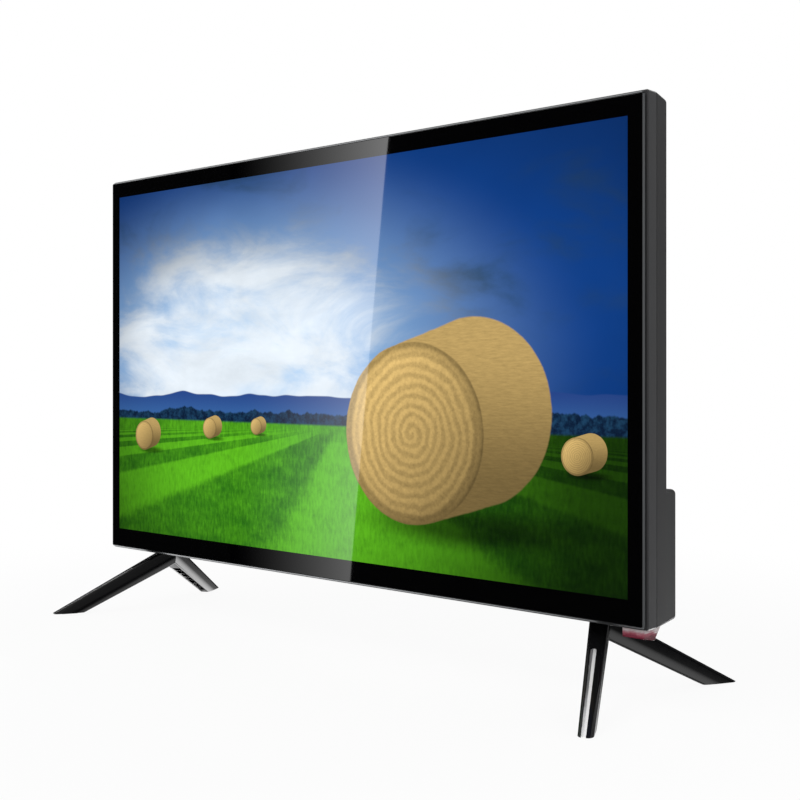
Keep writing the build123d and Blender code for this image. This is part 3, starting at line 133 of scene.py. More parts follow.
# Soft lamps: their names, places, targets, sizes and powers
LAMPS = (("lamp_high", (-0.5, -1.4, 1.9), (0, 0, 0.2), (1.6, 0.9), 16),
         ("lamp_right", (1.9, -0.2, 1.1), (0.2, 0, 0.2), (0.9, 0.9), 7),
         ("lamp_back", (0.4, 1.8, 1.4), (0, 0, 0.2), (1.4, 0.7), 8))

# The card: its heights, how much its edge leans, and the height where it stays in place
CARD_LOW, CARD_HIGH, CARD_LEAN, CARD_PIVOT = -0.2, 0.8, 0.1186, 0.4195


def real(name, description, default, **more):
    """A number property."""
    return FloatProperty(name=name, description=description, default=default, **more)


def length(name, description, default):
    """A length property in metres."""
    return real(name, description, default, min=0, precision=5, subtype="DISTANCE", unit="LENGTH")


def share(name, description, default):
    """A property that is a share of something."""
    return real(name, description, default, subtype="FACTOR")


def colour(name, description, default):
    """A colour property."""
    return FloatVectorProperty(name=name, description=description, default=default, min=0, max=1,
                               size=3, subtype="COLOR")


class TelevisionSizes(bpy.types.PropertyGroup):
    """Sizes of the visible pieces."""

    picture_width: length("Picture Width", "Width of the lit picture", 0.5213)
    picture_height: length("Picture Height", "Height of the lit picture", 0.2932)
    picture_rise: length("Border Below", "Black border under the picture", 0.0156)
    glass_corner: length("Glass Corner", "Radius of the corners of the glass", 0.001)
    trim_width: length("Trim Width", "Width of the trim beside the glass", 0.0010)
    trim_chamfer: length("Trim Chamfer", "Chamfer along the outer edge of the trim", 0.0009)
    wall: length("Wall", "Wall of the side frame and the cover", 0.0024)
    frame_corner: length("Frame Corner", "Radius of the corners of the side frame", 0.0014)
    frame_edge: length("Frame Edge", "Radius of the front edge of the side frame", 0.0011)
    slab_depth: length("Slab Depth", "Depth from the glass to the back of the slab", 0.0275)
    box_height: length("Box Height", "Height of the deeper box along the bottom", 0.0844)
    draft: share("Draft", "How fast the cover draws in towards the back", 0.06)
    top_draft: share("Top Draft", "How fast the top of the slab comes down towards the back", 0.18)
    slab_radius: length("Slab Edge", "Radius of the rear edges of the slab", 0.0025)
    box_radius: length("Box Edge", "Radius of the rear edges of the box", 0.0020)
    vents: IntProperty(name="Vents", description="Vent slots in a row", default=22, min=1)
    vent_pitch: length("Vent Pitch", "Pitch of the vent slots", 0.0090)
    vent_width: length("Vent Width", "Width of a vent slot", 0.0030)
    grille_slots: IntProperty(name="Grille Slots", description="Slots over a speaker", default=8, min=1)
    grille_pitch: length("Grille Pitch", "Pitch of the slots over a speaker", 0.0044)
    grille_width: length("Grille Width", "Width of a slot over a speaker", 0.0018)
    grille_length: length("Grille Length", "Length of a slot over a speaker", 0.0460)
    lens_fall: length("Lens Fall", "How far the bottom of the lens comes down towards its back", 0.0025)
    key_width: length("Key Width", "Width of a key", 0.0100)
    key_height: length("Key Height", "Height of a key", 0.0055)


class TelevisionStand(bpy.types.PropertyGroup):
    """Sizes of the two stands."""

    apex_x: length("Apex", "Sideways place of the apex", 0.2234)
    apex_drop: length("Apex Drop", "Drop from the cabinet to the middle line of a leg", 0.0053)
    foot_x: length("Foot Sideways", "Sideways place of a foot", 0.2653)
    foot_y: length("Foot Forward", "How far a foot is from the middle", 0.0789)
    top_width: length("Width at the Top", "Width of a leg at the apex", 0.013)
    foot_width: length("Width at the Foot", "Width of a leg at the foot", 0.0097)
    top_height: length("Height at the Top", "Height of a leg's section at the apex", 0.0156)
    foot_height: length("Height at the Foot", "Height of a leg's section at the foot", 0.0119)
    wall: length("Wall", "Wall of a hollow leg", 0.0022)
    crown: share("Crown", "Radius of the upper edges as a share of the width", 0.20)
    lower: share("Lower Radius", "Radius of the lower edges as a share of the width", 0.12)
    draw_in: share("Draw-In", "How far a leg's sides draw in below, as a share of the width", 0.20)
    hollow_start: share("Hollow Start", "Where the hollow starts", 0.14)
    hollow_end: share("Hollow End", "Where the hollow ends", 0.80)
    ribs: IntProperty(name="Ribs", description="Cross ribs in the hollow of a leg", default=6, min=0)
    rib: length("Rib", "Thickness of a rib", 0.0012)
    flute_start: share("Flute Start", "Where the flute on top of a leg starts", 0.335)
    flute_outer: share("Flute Outer Side", "Where the outer side of the flute lies across a leg", -0.27)
    flute_inner: share("Flute Inner Side", "Where the inner side of the flute lies across a leg", 0.04)
    flute_depth: length("Flute Depth", "Depth of the flute at its sides", 0.0005)


class TelevisionColours(bpy.types.PropertyGroup):
    """Colours of the finishes."""

    border: colour("Border", "Black border behind the glass", (0.0006, 0.0006, 0.0008))
    trim: colour("Trim", "Grey of the trim", (0.11, 0.115, 0.12))
    side: colour("Side Frame", "Dark grey of the side frame", (0.048, 0.048, 0.050))
    cover: colour("Rear Cover", "Dark grey of the rear cover", (0.040, 0.040, 0.041))
    stand: colour("Stand", "Black of the stands", (0.0045, 0.0045, 0.005))
    # Painted highlight: this near-white satin silver in the flutes stands for the bright highlight along
    # the top of the glossy black legs.
    strip: colour("Silver Strip", "Satin silver in the flutes of the legs", (0.80, 0.80, 0.81))
    lens: colour("Lens", "Red of the clear lens", (0.50, 0.12, 0.17))
    # Painted shade: this deeper red along the bottom of the lens stands for shade, not for a deeper
    # colour of the plastic.
    lens_shade_red: colour("Lens Depth", "Deeper red along the bottom of the lens", (0.13, 0.003, 0.018))
    sky_high: colour("Deep Sky", "Sky away from the light", (0.004, 0.050, 0.25))
    sky_low: colour("Bright Sky", "Sky in the light", (0.36, 0.62, 0.95))
    cloud: colour("Cloud", "Clouds in the light", (0.86, 0.92, 0.97))
    storm: colour("Dark Cloud", "Clouds in the shade", (0.020, 0.055, 0.105))
    hill: colour("Hills", "Hills along the horizon", (0.012, 0.035, 0.15))
    meadow: colour("Meadow", "Grass in the light", (0.10, 0.42, 0.012))
    meadow_dark: colour("Meadow Shade", "Grass in the shade", (0.018, 0.13, 0.006))
    straw: colour("Straw", "Straw of the bales", (0.62, 0.42, 0.15))


class TelevisionStage(bpy.types.PropertyGroup):
    """Camera and lights."""

    room_light: real("Room Light", "Level of the light all round", 0.55)
    card_light: real("Card Light", "Level of the card that the glass mirrors", 3.6)
    card_y: real("Card Y", "Place of the card", -0.2, unit="LENGTH")
    card_edge: real("Card Edge", "Sideways place of the card's edge", -0.095, unit="LENGTH")
    card_fade: length("Card Fade", "Width over which the card fades out", 0.2194)
    camera_place: FloatVectorProperty(name="Camera", description="Place of the camera", size=3,
                                      default=(0.661, -0.6764, 0.2058), subtype="XYZ", unit="LENGTH")
    camera_turn: real("Camera Turn", "Turn about the vertical", radians(42.11), subtype="ANGLE",
                      unit="ROTATION")
    camera_lens: real("Camera Lens", "Focal length in millimetres", 55.70)
    camera_shift: real("Camera Shift", "Downward shift of the view", 0.0324)


# Shaders


class Wire:
    """A number on its way through a shader. Arithmetic on it adds Math nodes."""

    def __init__(self, finish, socket):
        self.finish = finish
        self.socket = socket

    def math(self, operation, *others):
        return self.finish.math(operation, self, *others)

    def __add__(self, other):
        return self.math("ADD", other)

    def __sub__(self, other):
        return self.math("SUBTRACT", other)

    def __rsub__(self, other):
        return self.finish.math("SUBTRACT", other, self)

    def __mul__(self, other):
        return self.math("MULTIPLY", other)

    def __truediv__(self, other):
        return self.math("DIVIDE", other)

    def __rtruediv__(self, other):
        return self.finish.math("DIVIDE", other, self)

    def __pow__(self, other):
        return self.math("POWER", other)

    __radd__, __rmul__ = __add__, __mul__

    def rise(self, start, end):
        """From 0 at a start to 1 at an end, smoothly."""
        return self.finish.node("ShaderNodeMapRange", {"interpolation_type": "SMOOTHSTEP"},
                                {"Value": self, "From Min": start, "From Max": end})


class Nodes:
    """A node tree that is written as expressions."""

    def __init__(self, tree):
        self.tree = tree

    def plug(self, socket, value):
        """Link a wire to a socket, or set the socket's value."""
        if isinstance(value, Wire):
            self.tree.links.new(value.socket, socket)
        elif socket.type == "RGBA":
            socket.default_value = (*value, 1)
        else:
            socket.default_value = value

    def node(self, kind, settings=None, sockets=None, output=0):
        """Add a node with its settings and the values or links of its sockets."""
        made = self.tree.nodes.new(kind)
        for setting, value in (settings or {}).items():
            setattr(made, setting, value)
        for socket, value in (sockets or {}).items():
            self.plug(made.inputs[socket], value)
        return Wire(self, made.outputs[output])

    def math(self, operation, *values):
        return self.node("ShaderNodeMath", {"operation": operation}, dict(enumerate(values)))

    def mix(self, factor, first, second):
        """Mix two colours."""
        return self.node("ShaderNodeMix", {"data_type": "RGBA"},
                         {"Factor": factor, 6: first, 7: second}, 2)

    def scaled(self, tint, amount):
        """A colour made lighter or darker."""
        return self.node("ShaderNodeVectorMath", {"operation": "SCALE"}, {0: tint, "Scale": amount})

    def coordinates(self, output="Object"):
        """The three coordinates of a point on the object, or of a direction in the world."""
        split = self.tree.nodes.new("ShaderNodeSeparateXYZ")
        self.plug(split.inputs[0], self.node("ShaderNodeTexCoord", output=output))
        return [Wire(self, socket) for socket in split.outputs]


class Finish(Nodes):
    """A material. Constants are set on the shader's own sockets."""

    def __init__(self, name, constants):
        self.material = bpy.data.materials.new(name)
        self.material.use_nodes = True
        super().__init__(self.material.node_tree)
        self.shader = self.tree.nodes["Principled BSDF"]
        for socket, value in constants.items():
            self.plug(self.shader.inputs[socket], value)

    def place(self, stretch, turn=(0, 0, 0)):
        """Where a point is on the object, stretched and turned for a pattern."""
        seen = self.node("ShaderNodeTexCoord", output="Object")
        return self.node("ShaderNodeMapping", None, {"Vector": seen, "Scale": stretch, "Rotation": turn})

    def noise(self, stretch, scale, detail, roughness, distortion=0.0, turn=(0, 0, 0)):
        """Smooth noise from 0 to 1."""
        return self.node("ShaderNodeTexNoise", None,
                         {"Vector": self.place(stretch, turn), "Scale": scale, "Detail": detail,
                          "Roughness": roughness, "Distortion": distortion})

    def bump(self, height, distance):
        """A normal from a height."""
        return self.node("ShaderNodeBump", None, {"Height": height, "Distance": distance})

    def use(self, **wires):
        """Feed the shader what changes over the surface."""
        for name, wire in wires.items():
            self.plug(self.shader.inputs[name.replace("_", " ").title()], wire)
        return self.material


def picture_finish(colours, sizes):
    """A meadow with round straw bales under a cloudy sky, shown by the panel."""
    finish = Finish("lit_picture", {"Base Color": (0.002, 0.002, 0.002), "Emission Strength": 1.0,
                                    "Roughness": 0.03})
    x, _, z = finish.coordinates()
    across = x / (sizes.picture_width / 2)
    up = (z - GLASS_LOW.z - sizes.picture_rise) / sizes.picture_height

    # Sky and clouds
    haze = finish.noise((1, 1, 1.7), 5.5, 3, 0.5, 0.4)
    light = 1 - hypot_of((across + 0.38) * 0.78, (up - 0.50) * 1.75).rise(0.05, 1.05)
    sky = finish.mix(light, colours.sky_high, colours.sky_low)
    puffs = finish.noise((1, 1, 2.3), 9, 8, 0.58, 0.5)
    cover = (puffs + 0.30 * light - 0.05).rise(0.46, 0.80)
    shaded = finish.noise((1, 1, 2.6), 13, 6, 0.6, 0.3)
    cloud = finish.mix(light.rise(0.1, 0.8), colours.storm,
                       finish.scaled(colours.cloud, 0.62 + 0.55 * shaded))
    scene = finish.mix(cover * 0.92, finish.scaled(sky, 0.65 + 0.5 * haze), cloud)

    # Hills and a line of trees
    ridge_noise = finish.noise((1, 0, 0), 7, 3, 0.5)
    ridge = 0.375 + 0.12 * (ridge_noise - 0.5)
    far_hill = finish.mix(up.rise(0.30, 0.44), (0.03, 0.10, 0.26), colours.hill)
    scene = finish.mix((ridge + 0.035 - up).rise(-0.002, 0.002), scene, finish.scaled(far_hill, 1.5))
    crowns = finish.noise((1, 0, 0), 60, 4, 0.6)
    leaves = finish.noise(EVEN, 180, 3, 0.7)
    leaves = finish.mix(leaves.rise(0.35, 0.7), (0.002, 0.010, 0.032), (0.010, 0.045, 0.10))
    wood = finish.scaled(leaves, 1.1)
    scene = finish.mix((ridge - 0.035 + 0.05 * crowns - up).rise(-0.003, 0.003), scene, wood)

    # Meadow with mown stripes that run to the horizon
    horizon = 0.335
    near = (horizon - up).math("MAXIMUM", 0.002)
    rows = ((across - 0.05) / near * 1.15 + 0.9).math("SINE").rise(-0.3, 0.3)
    stripes = 0.5 + (rows - 0.5) * near.rise(0.005, 0.06)
    blades = finish.noise((1, 1, 0.35), 420, 4, 0.7)
    tufts = finish.noise((1, 1, 3.0), 28, 4, 0.6)
    lit = (1 - hypot_of(across + 0.30, (up - 0.14) * 1.9).rise(0.25, 1.25)) * 0.95 + 0.12
    grass = finish.mix((0.30 * stripes + 0.45 * blades + 0.45 * tufts).rise(0.25, 0.85),
                       colours.meadow_dark, colours.meadow)
    meadow = finish.scaled(grass, lit * (0.75 + 0.6 * blades))
    scene = finish.mix((horizon - up).rise(-0.004, 0.004), scene, meadow)

    # Bales, from the far ones to the near one
    for spot, radius in (((-0.30, 0.325), 0.0065), ((0.86, 0.29), 0.012), ((-0.52, 0.315), 0.0085),
                         ((-0.86, 0.285), 0.0125), ((0.33, 0.325), 0.0640)):
        scene = bale(finish, scene, colours, sizes, (x, z), spot, radius)

    edge = hypot_of(across * 0.62, (up - 0.5) * 1.25)
    scene = finish.scaled(scene, 1.08 - 0.55 * edge.rise(0.45, 1.0))
    return finish.use(emission_color=scene)


def hypot_of(first, second):
    """Length of two wires taken as a vector."""
    return (first * first + second * second).math("SQRT")


def bale(finish, scene, colours, sizes, point, spot, radius):
    """A round straw bale with its shadow, drawn over a picture."""
    x, z = point
    middle_x = spot[0] * sizes.picture_width / 2
    middle_z = GLASS_LOW.z + sizes.picture_rise + spot[1] * sizes.picture_height
    right = x - middle_x
    high = z - middle_z
    along = ((right * 0.96 + high * 0.28) / (0.9 * radius)).math("MAXIMUM", 0.0).math("MINIMUM", 1.0)
    round_side = hypot_of(right - along * (0.86 * radius), high - along * (0.25 * radius)) / radius
    disc = hypot_of(right, high) / radius
    turned = high.math("ARCTAN2", right)

    shadow = hypot_of((right - 0.75 * radius) * 0.55, (high + 0.97 * radius) * 3.2) / radius
    scene = finish.scaled(scene, 0.28 + 0.72 * shadow.rise(0.25, 1.0))

    fuzz = finish.noise(EVEN, 2.6 / radius, 5, 0.65)
    fine = finish.noise(EVEN, 26 / radius, 3, 0.7)
    coils = ((disc * 9 + turned / (2 * pi) + 1.5 * fuzz) * (2 * pi)).math("SINE").rise(-1.0, 1.0)
    end_light = 1.0 - 0.34 * (right / radius) + 0.36 * (high / radius)
    end_light = end_light * (0.66 + 0.20 * coils + 0.55 * (fine - 0.5))
    rim = 1 - 0.45 * disc.rise(0.82, 1.0)
    face = finish.scaled(colours.straw, end_light * rim)
    streaks = finish.noise((1, 1, 7), 7 / radius, 4, 0.7, turn=(0, 0.28, 0))
    side_light = 0.30 + 0.55 * (high / radius).rise(-0.6, 1.1)
    side = finish.scaled(colours.straw, side_light * (0.55 + 0.75 * streaks))
    ragged = 0.035 * (fuzz - 0.5)
    scene = finish.mix((1 + ragged - round_side).rise(-0.012, 0.012), scene, side)
    return finish.mix((1 + ragged - disc).rise(-0.012, 0.012), scene, face)


def black_glass_finish(colours):
    """Glass over a printed black border, with faint smears."""
    finish = Finish("black_glass", {"Base Color": colours.border})
    smears = finish.noise((1, 1, 2.5), 14, 5, 0.6, 0.8)
    return finish.use(roughness=0.015 + 0.03 * smears)


def satin_metal_finish(name, tint, roughness, grain, metallic=1.0):
    """Metal with fine lines along one direction."""
    finish = Finish(name, {"Metallic": metallic})
    lines = finish.noise(grain, 900, 3, 0.6)
    clouds = finish.noise(EVEN, 30, 3, 0.5)
    tone = finish.scaled(tint, 0.86 + 0.2 * lines + 0.08 * clouds)
    return finish.use(base_color=tone, roughness=roughness - 0.06 + 0.12 * lines,
                      normal=finish.bump(lines, 0.00004))


def moulded_finish(name, tint, roughness, grain, depth, gloss=0.5):
    """Moulded plastic with a spark-eroded texture of a given grain."""
    finish = Finish(name, {"Specular IOR Level": gloss})
    skin = finish.noise(EVEN, grain, 3, 0.65)
    flow = finish.noise(EVEN, 22, 4, 0.6, 0.6)
    tone = finish.scaled(tint, 0.86 + 0.2 * skin + 0.1 * flow)
    return finish.use(base_color=tone, roughness=roughness - 0.05 + 0.08 * skin + 0.05 * flow,
                      normal=finish.bump(skin, depth))


def grained_finish(name, tint, tone, roughness, grain, depth=None, gloss=0.5, metallic=0.0):
    """A surface with one grain, which adds to the levels of tone and roughness and can raise bumps."""
    finish = Finish(name, {"Metallic": metallic, "Specular IOR Level": gloss})
    noise = finish.noise(*grain)
    wires = {"base_color": finish.scaled(tint, tone[0] + tone[1] * noise),
             "roughness": roughness[0] + roughness[1] * noise}
    if depth:
        wires["normal"] = finish.bump(noise, depth)
    return finish.use(**wires)


def lens_finish(colours):
    """Clear red plastic, with a painted highlight that pales its top and its back towards the cabinet,
    and painted shade that deepens the red along its bottom.
    """
    finish = Finish("red_lens", {"Roughness": 0.08, "IOR": 1.49, "Transmission Weight": 0.30,
                                 "Specular IOR Level": 0.4, "Coat Weight": 0.15, "Coat Roughness": 0.03})
    _, y, z = finish.coordinates()
    swirl = finish.noise(EVEN, 220, 4, 0.6, 0.6)
    streaks = finish.noise((0.30, 0.30, 3.5), 420, 4, 0.6, 0.5)
    height = (z - LENS_LOW.z) / (FRAME_LOW.z - LENS_LOW.z)
    level = height + 0.85 * (streaks - 0.5) + 0.50 * (swirl - 0.5)
    # Painted shade: the red deepens towards the bottom of the lens.
    red = finish.mix(level.rise(-0.1, 0.60), colours.lens_shade_red,
                     finish.scaled(colours.lens, 0.65 + 0.6 * swirl))
    # Painted highlight: pale white is mixed in over the top and towards the back of the lens.
    pale = (level + 0.45 * y.rise(FRONT + 12 * MM, FRONT + 20 * MM)).rise(0.45, 0.95)
    white = (pale * (0.70 + 0.9 * (streaks - 0.3))).math("MINIMUM", 1.0)
    return finish.use(base_color=finish.mix(white, red, (0.86, 0.80, 0.80)))


def board_finish(name, tint, trace):
    """Laminate with a solder mask and the tracks under it."""
    finish = Finish(name, {"Coat Weight": 0.3, "Coat Roughness": 0.15})
    weave = finish.noise(EVEN, 700, 2, 0.5)
    lanes = finish.node("ShaderNodeTexBrick", {"offset": 0.37, "squash": 0.6},
                        {"Vector": finish.place(EVEN, (pi / 2, 0, 0)), "Scale": 60, "Mortar Size": 0.03,
                         "Brick Width": 0.9, "Row Height": 0.12}, 1)
    tone = finish.mix(lanes * 0.6, finish.scaled(tint, 0.8 + 0.4 * weave), trace)
    return finish.use(base_color=tone, roughness=0.35 + 0.2 * weave, normal=finish.bump(lanes, 0.00005))


def sleeve_finish(name, tint, roughness):
    """Shrunk sleeve, tape or insulation, slightly uneven."""
    return grained_finish(name, tint, (0.8, 0.35), (roughness, 0.15), ((1, 1, 4), 260, 3, 0.6), 0.0001)


def film_finish(name, tint, roughness):
    """A sheet of the backlight, with the fine lines of its prisms."""
    return grained_finish(name, tint, (0.9, 0.15), (roughness, 0.1), ((0.01, 1, 1), 3000, 1, 0.5))


# Modelling


def deselect():
    """Leave edit mode and select nothing."""
    if bpy.context.object and bpy.context.object.mode != "OBJECT":
        bpy.ops.object.mode_set(mode="OBJECT")
    bpy.ops.object.select_all(action="DESELECT")


def activate(piece):
    """Select one piece alone and make it the active one."""
    deselect()
    piece.select_set(True)
    bpy.context.view_layer.objects.active = piece


def settle(piece):
    """Put the place, turn and size of a piece into its mesh."""
    activate(piece)
    bpy.ops.object.transform_apply(location=True, rotation=True, scale=True)
    return piece


def edit_all(piece):
    """Enter edit mode with the whole of a piece selected."""
    activate(piece)
    bpy.ops.object.mode_set(mode="EDIT")
    bpy.ops.mesh.select_mode(type="EDGE")
    bpy.ops.mesh.select_all(action="SELECT")


def block(name, low, high):
    """A box between two corners, to start a piece from."""
    deselect()
    low, high = Vector(low), Vector(high)
    bpy.ops.mesh.primitive_cube_add(size=1, location=(low + high) / 2, scale=high - low)
    bpy.context.object.name = name
    return settle(bpy.context.object)


def drum(name, middle, radius, start, end, axis=1, sides=32):
    """A cylinder along Y or Z, at a place in the plane square to it."""
    deselect()
    half = (start + end) / 2
    place = (middle[0], half, middle[1]) if axis == 1 else (middle[0], middle[1], half)
    bpy.ops.mesh.primitive_cylinder_add(vertices=sides, radius=radius, depth=end - start, location=place,
                                        rotation=(pi / 2 if axis == 1 else 0, 0, 0))
    bpy.context.object.name = name
    return settle(bpy.context.object)


def drums(name, places, radius, start, end, sides=32):
    """A cylinder along Y at each of several places."""
    return [drum(name, place, radius, start, end, sides=sides) for place in places]


def lofted(name, *ends):
    """A body between two upright outlines, each given by its depth, corners and corner radius."""
    outlines = []
    for y, low, high, corner in ends:
        deselect()
        middle = (low[0] + high[0]) / 2, y, (low[1] + high[1]) / 2
        bpy.ops.mesh.primitive_plane_add(size=1, location=middle, rotation=(pi / 2, 0, 0))
        bpy.context.object.scale = (high[0] - low[0], high[1] - low[1], 1)
        outlines.append(settle(bpy.context.object))
        if corner:
            edit_all(outlines[-1])
            bpy.ops.mesh.bevel(offset=corner, segments=6, affect="VERTICES")
    body = join(outlines, name)
    edit_all(body)
    bpy.ops.mesh.bridge_edge_loops()
    for y, *_ in ends:
        choose(body, "EDGE", lambda edge: at_depth(edge, y))
        if any(edge.is_boundary and edge.select for edge in bmesh.from_edit_mesh(body.data).edges):
            bpy.ops.mesh.edge_face_add()
    bpy.ops.mesh.select_all(action="SELECT")
    bpy.ops.mesh.normals_make_consistent(inside=False)
    bpy.ops.object.mode_set(mode="OBJECT")
    return body


def copies(piece, count, pitch):
    """A row of a piece and its copies along X."""
    made = [piece]
    for number in range(1, count):
        twin = copy_of(piece, piece.name)
        bpy.ops.transform.translate(value=(number * pitch, 0, 0))
        made.append(settle(twin))
    return made


def slice_all(piece, place, direction, **ends):
    """Cut the whole of a piece with a plane."""
    edit_all(piece)
    bpy.ops.mesh.bisect(plane_co=place, plane_no=direction, threshold=HERE, **ends)
    bpy.ops.object.mode_set(mode="OBJECT")


def middle_of(part):
    """Middle of a face or an edge."""
    return sum((vertex.co for vertex in part.verts), Vector()) / len(part.verts)


def runs_along(edge, axis):
    """Whether an edge runs along an axis."""
    run = edge.verts[1].co - edge.verts[0].co
    return abs(run.normalized()[axis]) > 0.9


def at_depth(part, y, near=HERE):
    """Whether all of an edge or a face lies at a depth."""
    return all(abs(vertex.co.y - y) < near for vertex in part.verts)


def choose(piece, kind, test):
    """In edit mode, select the faces or edges of a piece that pass a test."""
    if piece.mode != "EDIT":
        activate(piece)
        bpy.ops.object.mode_set(mode="EDIT")
    bpy.ops.mesh.select_mode(type=kind)
    bpy.ops.mesh.select_all(action="DESELECT")
    mesh = bmesh.from_edit_mesh(piece.data)
    parts = {"FACE": mesh.faces, "EDGE": mesh.edges, "VERT": mesh.verts}[kind]
    chosen = [part for part in parts if test(part)]
    if not chosen:
        raise RuntimeError(f"nothing to select on {piece.name}")
    for part in chosen:
        part.select_set(True)
    bmesh.update_edit_mesh(piece.data)


def move(piece, kind, test, step):
    """Move the corners, edges or faces of a piece that pass a test."""
    choose(piece, kind, test)
    bpy.ops.transform.translate(value=step)
    bpy.ops.object.mode_set(mode="OBJECT")


def faces_back(face):
    return face.normal.y > 0.9


def faces_front(face):
    return face.normal.y < -0.9


def bevel_edges(piece, test, width, steps=4):
    """Round the edges of a piece that pass a test."""
    choose(piece, "EDGE", test)
    bpy.ops.mesh.bevel(offset=width, segments=steps, affect="EDGES")
    bpy.ops.object.mode_set(mode="OBJECT")


def rounded_slab(name, low, high, corner, steps=6):
    """A slab parallel to the screen with rounded corners."""
    piece = block(name, low, high)
    bevel_edges(piece, lambda edge: runs_along(edge, 1), corner, steps)
    return piece


def join(pieces, name):
    """Make several pieces one."""
    activate(pieces[0])
    for piece in pieces:
        piece.select_set(True)
    if len(pieces) > 1:
        bpy.ops.object.join()
    bpy.context.object.name = name
    return bpy.context.object


def modify(piece, kind, **settings):
    """Add a modifier to a piece and apply it."""
    activate(piece)
    modifier = piece.modifiers.new(kind.title(), kind)
    for setting, value in settings.items():
        setattr(modifier, setting, value)
    bpy.ops.object.modifier_apply(modifier=modifier.name)


def carve(piece, cutters, operation="DIFFERENCE"):
    """Cut pieces out of another, or join them to it."""
    cutter = join(cutters, "cutter")
    modify(piece, "BOOLEAN", object=cutter, operation=operation, solver="MANIFOLD")
    bpy.data.objects.remove(cutter)
    return piece


def weld(piece, *parts):
    """Join parts that overlap a piece to it, one by one."""
    for part in parts:
        carve(piece, [part], "UNION")


def copy_of(piece, name):
    """A copy of a piece with its own mesh."""
    activate(piece)
    bpy.ops.object.duplicate()
    bpy.context.object.name = name
    return bpy.context.object


def clean_up(piece):
    """Merge doubles and turn all faces outwards."""
    edit_all(piece)
    bpy.ops.mesh.dissolve_degenerate(threshold=2 * HERE)
    bpy.ops.mesh.remove_doubles(threshold=HERE)
    bpy.ops.mesh.normals_make_consistent(inside=False)
    bpy.ops.object.mode_set(mode="OBJECT")


def soften(piece, width, steps=2):
    """Round every sharp edge a little and shade the piece smoothly."""
    if width:
        modify(piece, "BEVEL", width=width, segments=steps, limit_method="ANGLE", angle_limit=radians(32),
               use_clamp_overlap=True, miter_outer="MITER_ARC")
    activate(piece)
    bpy.ops.object.shade_smooth_by_angle(angle=radians(40))
    modify(piece, "WEIGHTED_NORMAL", keep_sharp=True)


def dress(piece, *materials):
    """Give a piece its materials, in place of those it has."""
    piece.data.materials.clear()
    for material in materials:
        piece.data.materials.append(material)


def hand_over(piece, material, node, body="cabinet"):
    """Give a finished piece its material and body, in place of its node."""
    if material:
        dress(piece, material)
    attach(piece, body)
    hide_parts(node)


def rim_edge(y):
    """Test for the edges at a depth that bound an outer wall."""
    middle = (GLASS_LOW + GLASS_HIGH) / 2

    def test(edge):
        walls = [face for face in edge.link_faces if abs(face.normal.y) < 0.5]
        outer = any(face.normal.dot(middle_of(face) - middle) > 0 for face in walls)
        return outer and at_depth(edge, y, 10 * HERE)

    return test


class MakeFrontGlass(bpy.types.Operator):
    """Model the front glass with its black border and the lit picture"""

    bl_idname = "television.make_front_glass"
    bl_label = "Front Glass"

    def execute(self, context):
        sizes, colours = context.scene.television_sizes, context.scene.television_colours
        glass = rounded_slab("screen_glass", GLASS_LOW, GLASS_HIGH, sizes.glass_corner)
        bevel_edges(glass, rim_edge(GLASS_LOW.y), GLASS_EDGE, 3)
        half = sizes.picture_width / 2
        bottom = GLASS_LOW.z + sizes.picture_rise
        top = bottom + sizes.picture_height
        for place, direction in (((half, 0, 0), (1, 0, 0)), ((-half, 0, 0), (1, 0, 0)),
                                 ((0, 0, bottom), (0, 0, 1)), ((0, 0, top), (0, 0, 1))):
            choose(glass, "FACE", faces_front)
            bpy.ops.mesh.bisect(plane_co=place, plane_no=direction, threshold=HERE)
        bpy.ops.object.mode_set(mode="OBJECT")
        glass.data.materials.append(black_glass_finish(colours))
        glass.data.materials.append(picture_finish(colours, sizes))
        for face in glass.data.polygons:
            spot = face.center
            if faces_front(face) and abs(spot.x) < half and bottom < spot.z < top:
                face.material_index = 1
        soften(glass, 0)
        hand_over(glass, None, "front_glass")
        return {"FINISHED"}


class MakeTrim(bpy.types.Operator):
    """Model the chamfered trim ring around the glass"""

    bl_idname = "television.make_trim"
    bl_label = "Trim Ring"

    def execute(self, context):
        sizes, colours = context.scene.television_sizes, context.scene.television_colours
        corner = TRIM_HIGH.x - GLASS_HIGH.x + sizes.glass_corner
        lip_back = FRONT + TRIM_DEPTH
        trim = self.slab("trim", 0, FRONT, lip_back, corner)
        bevel_edges(trim, rim_edge(FRONT), sizes.trim_chamfer, 1)
        weld(trim,
             self.slab("neck", GROOVE_DEPTH, lip_back - OVERLAP, FRAME_LOW.y, corner - GROOVE_DEPTH),
             self.slab("skirt", SKIRT_INSET, FRAME_LOW.y - OVERLAP, TRIM_HIGH.y, sizes.glass_corner))
        carve(trim, [self.slab("window", sizes.trim_width, FRONT - MM, FRONT + GLASS_DEPTH,
                               corner - sizes.trim_width)])
        carve(trim, [self.slab("inside", LEDGE_WIDTH, FRONT, TRIM_HIGH.y + MM, sizes.glass_corner)])
        soften(trim, SMALL_RADII["trim"])
        finish = satin_metal_finish("trim_grey", colours.trim, 0.30, (0.02, 1, 1), 0.85)
        hand_over(trim, finish, "trim_ring")
        return {"FINISHED"}

    def slab(self, name, inset, front, back, corner):
        """The trim's outline, drawn in, between two depths."""
        return rounded_slab(name, (TRIM_LOW.x + inset, front, TRIM_LOW.z + inset),
                            (TRIM_HIGH.x - inset, back, TRIM_HIGH.z - inset), corner)


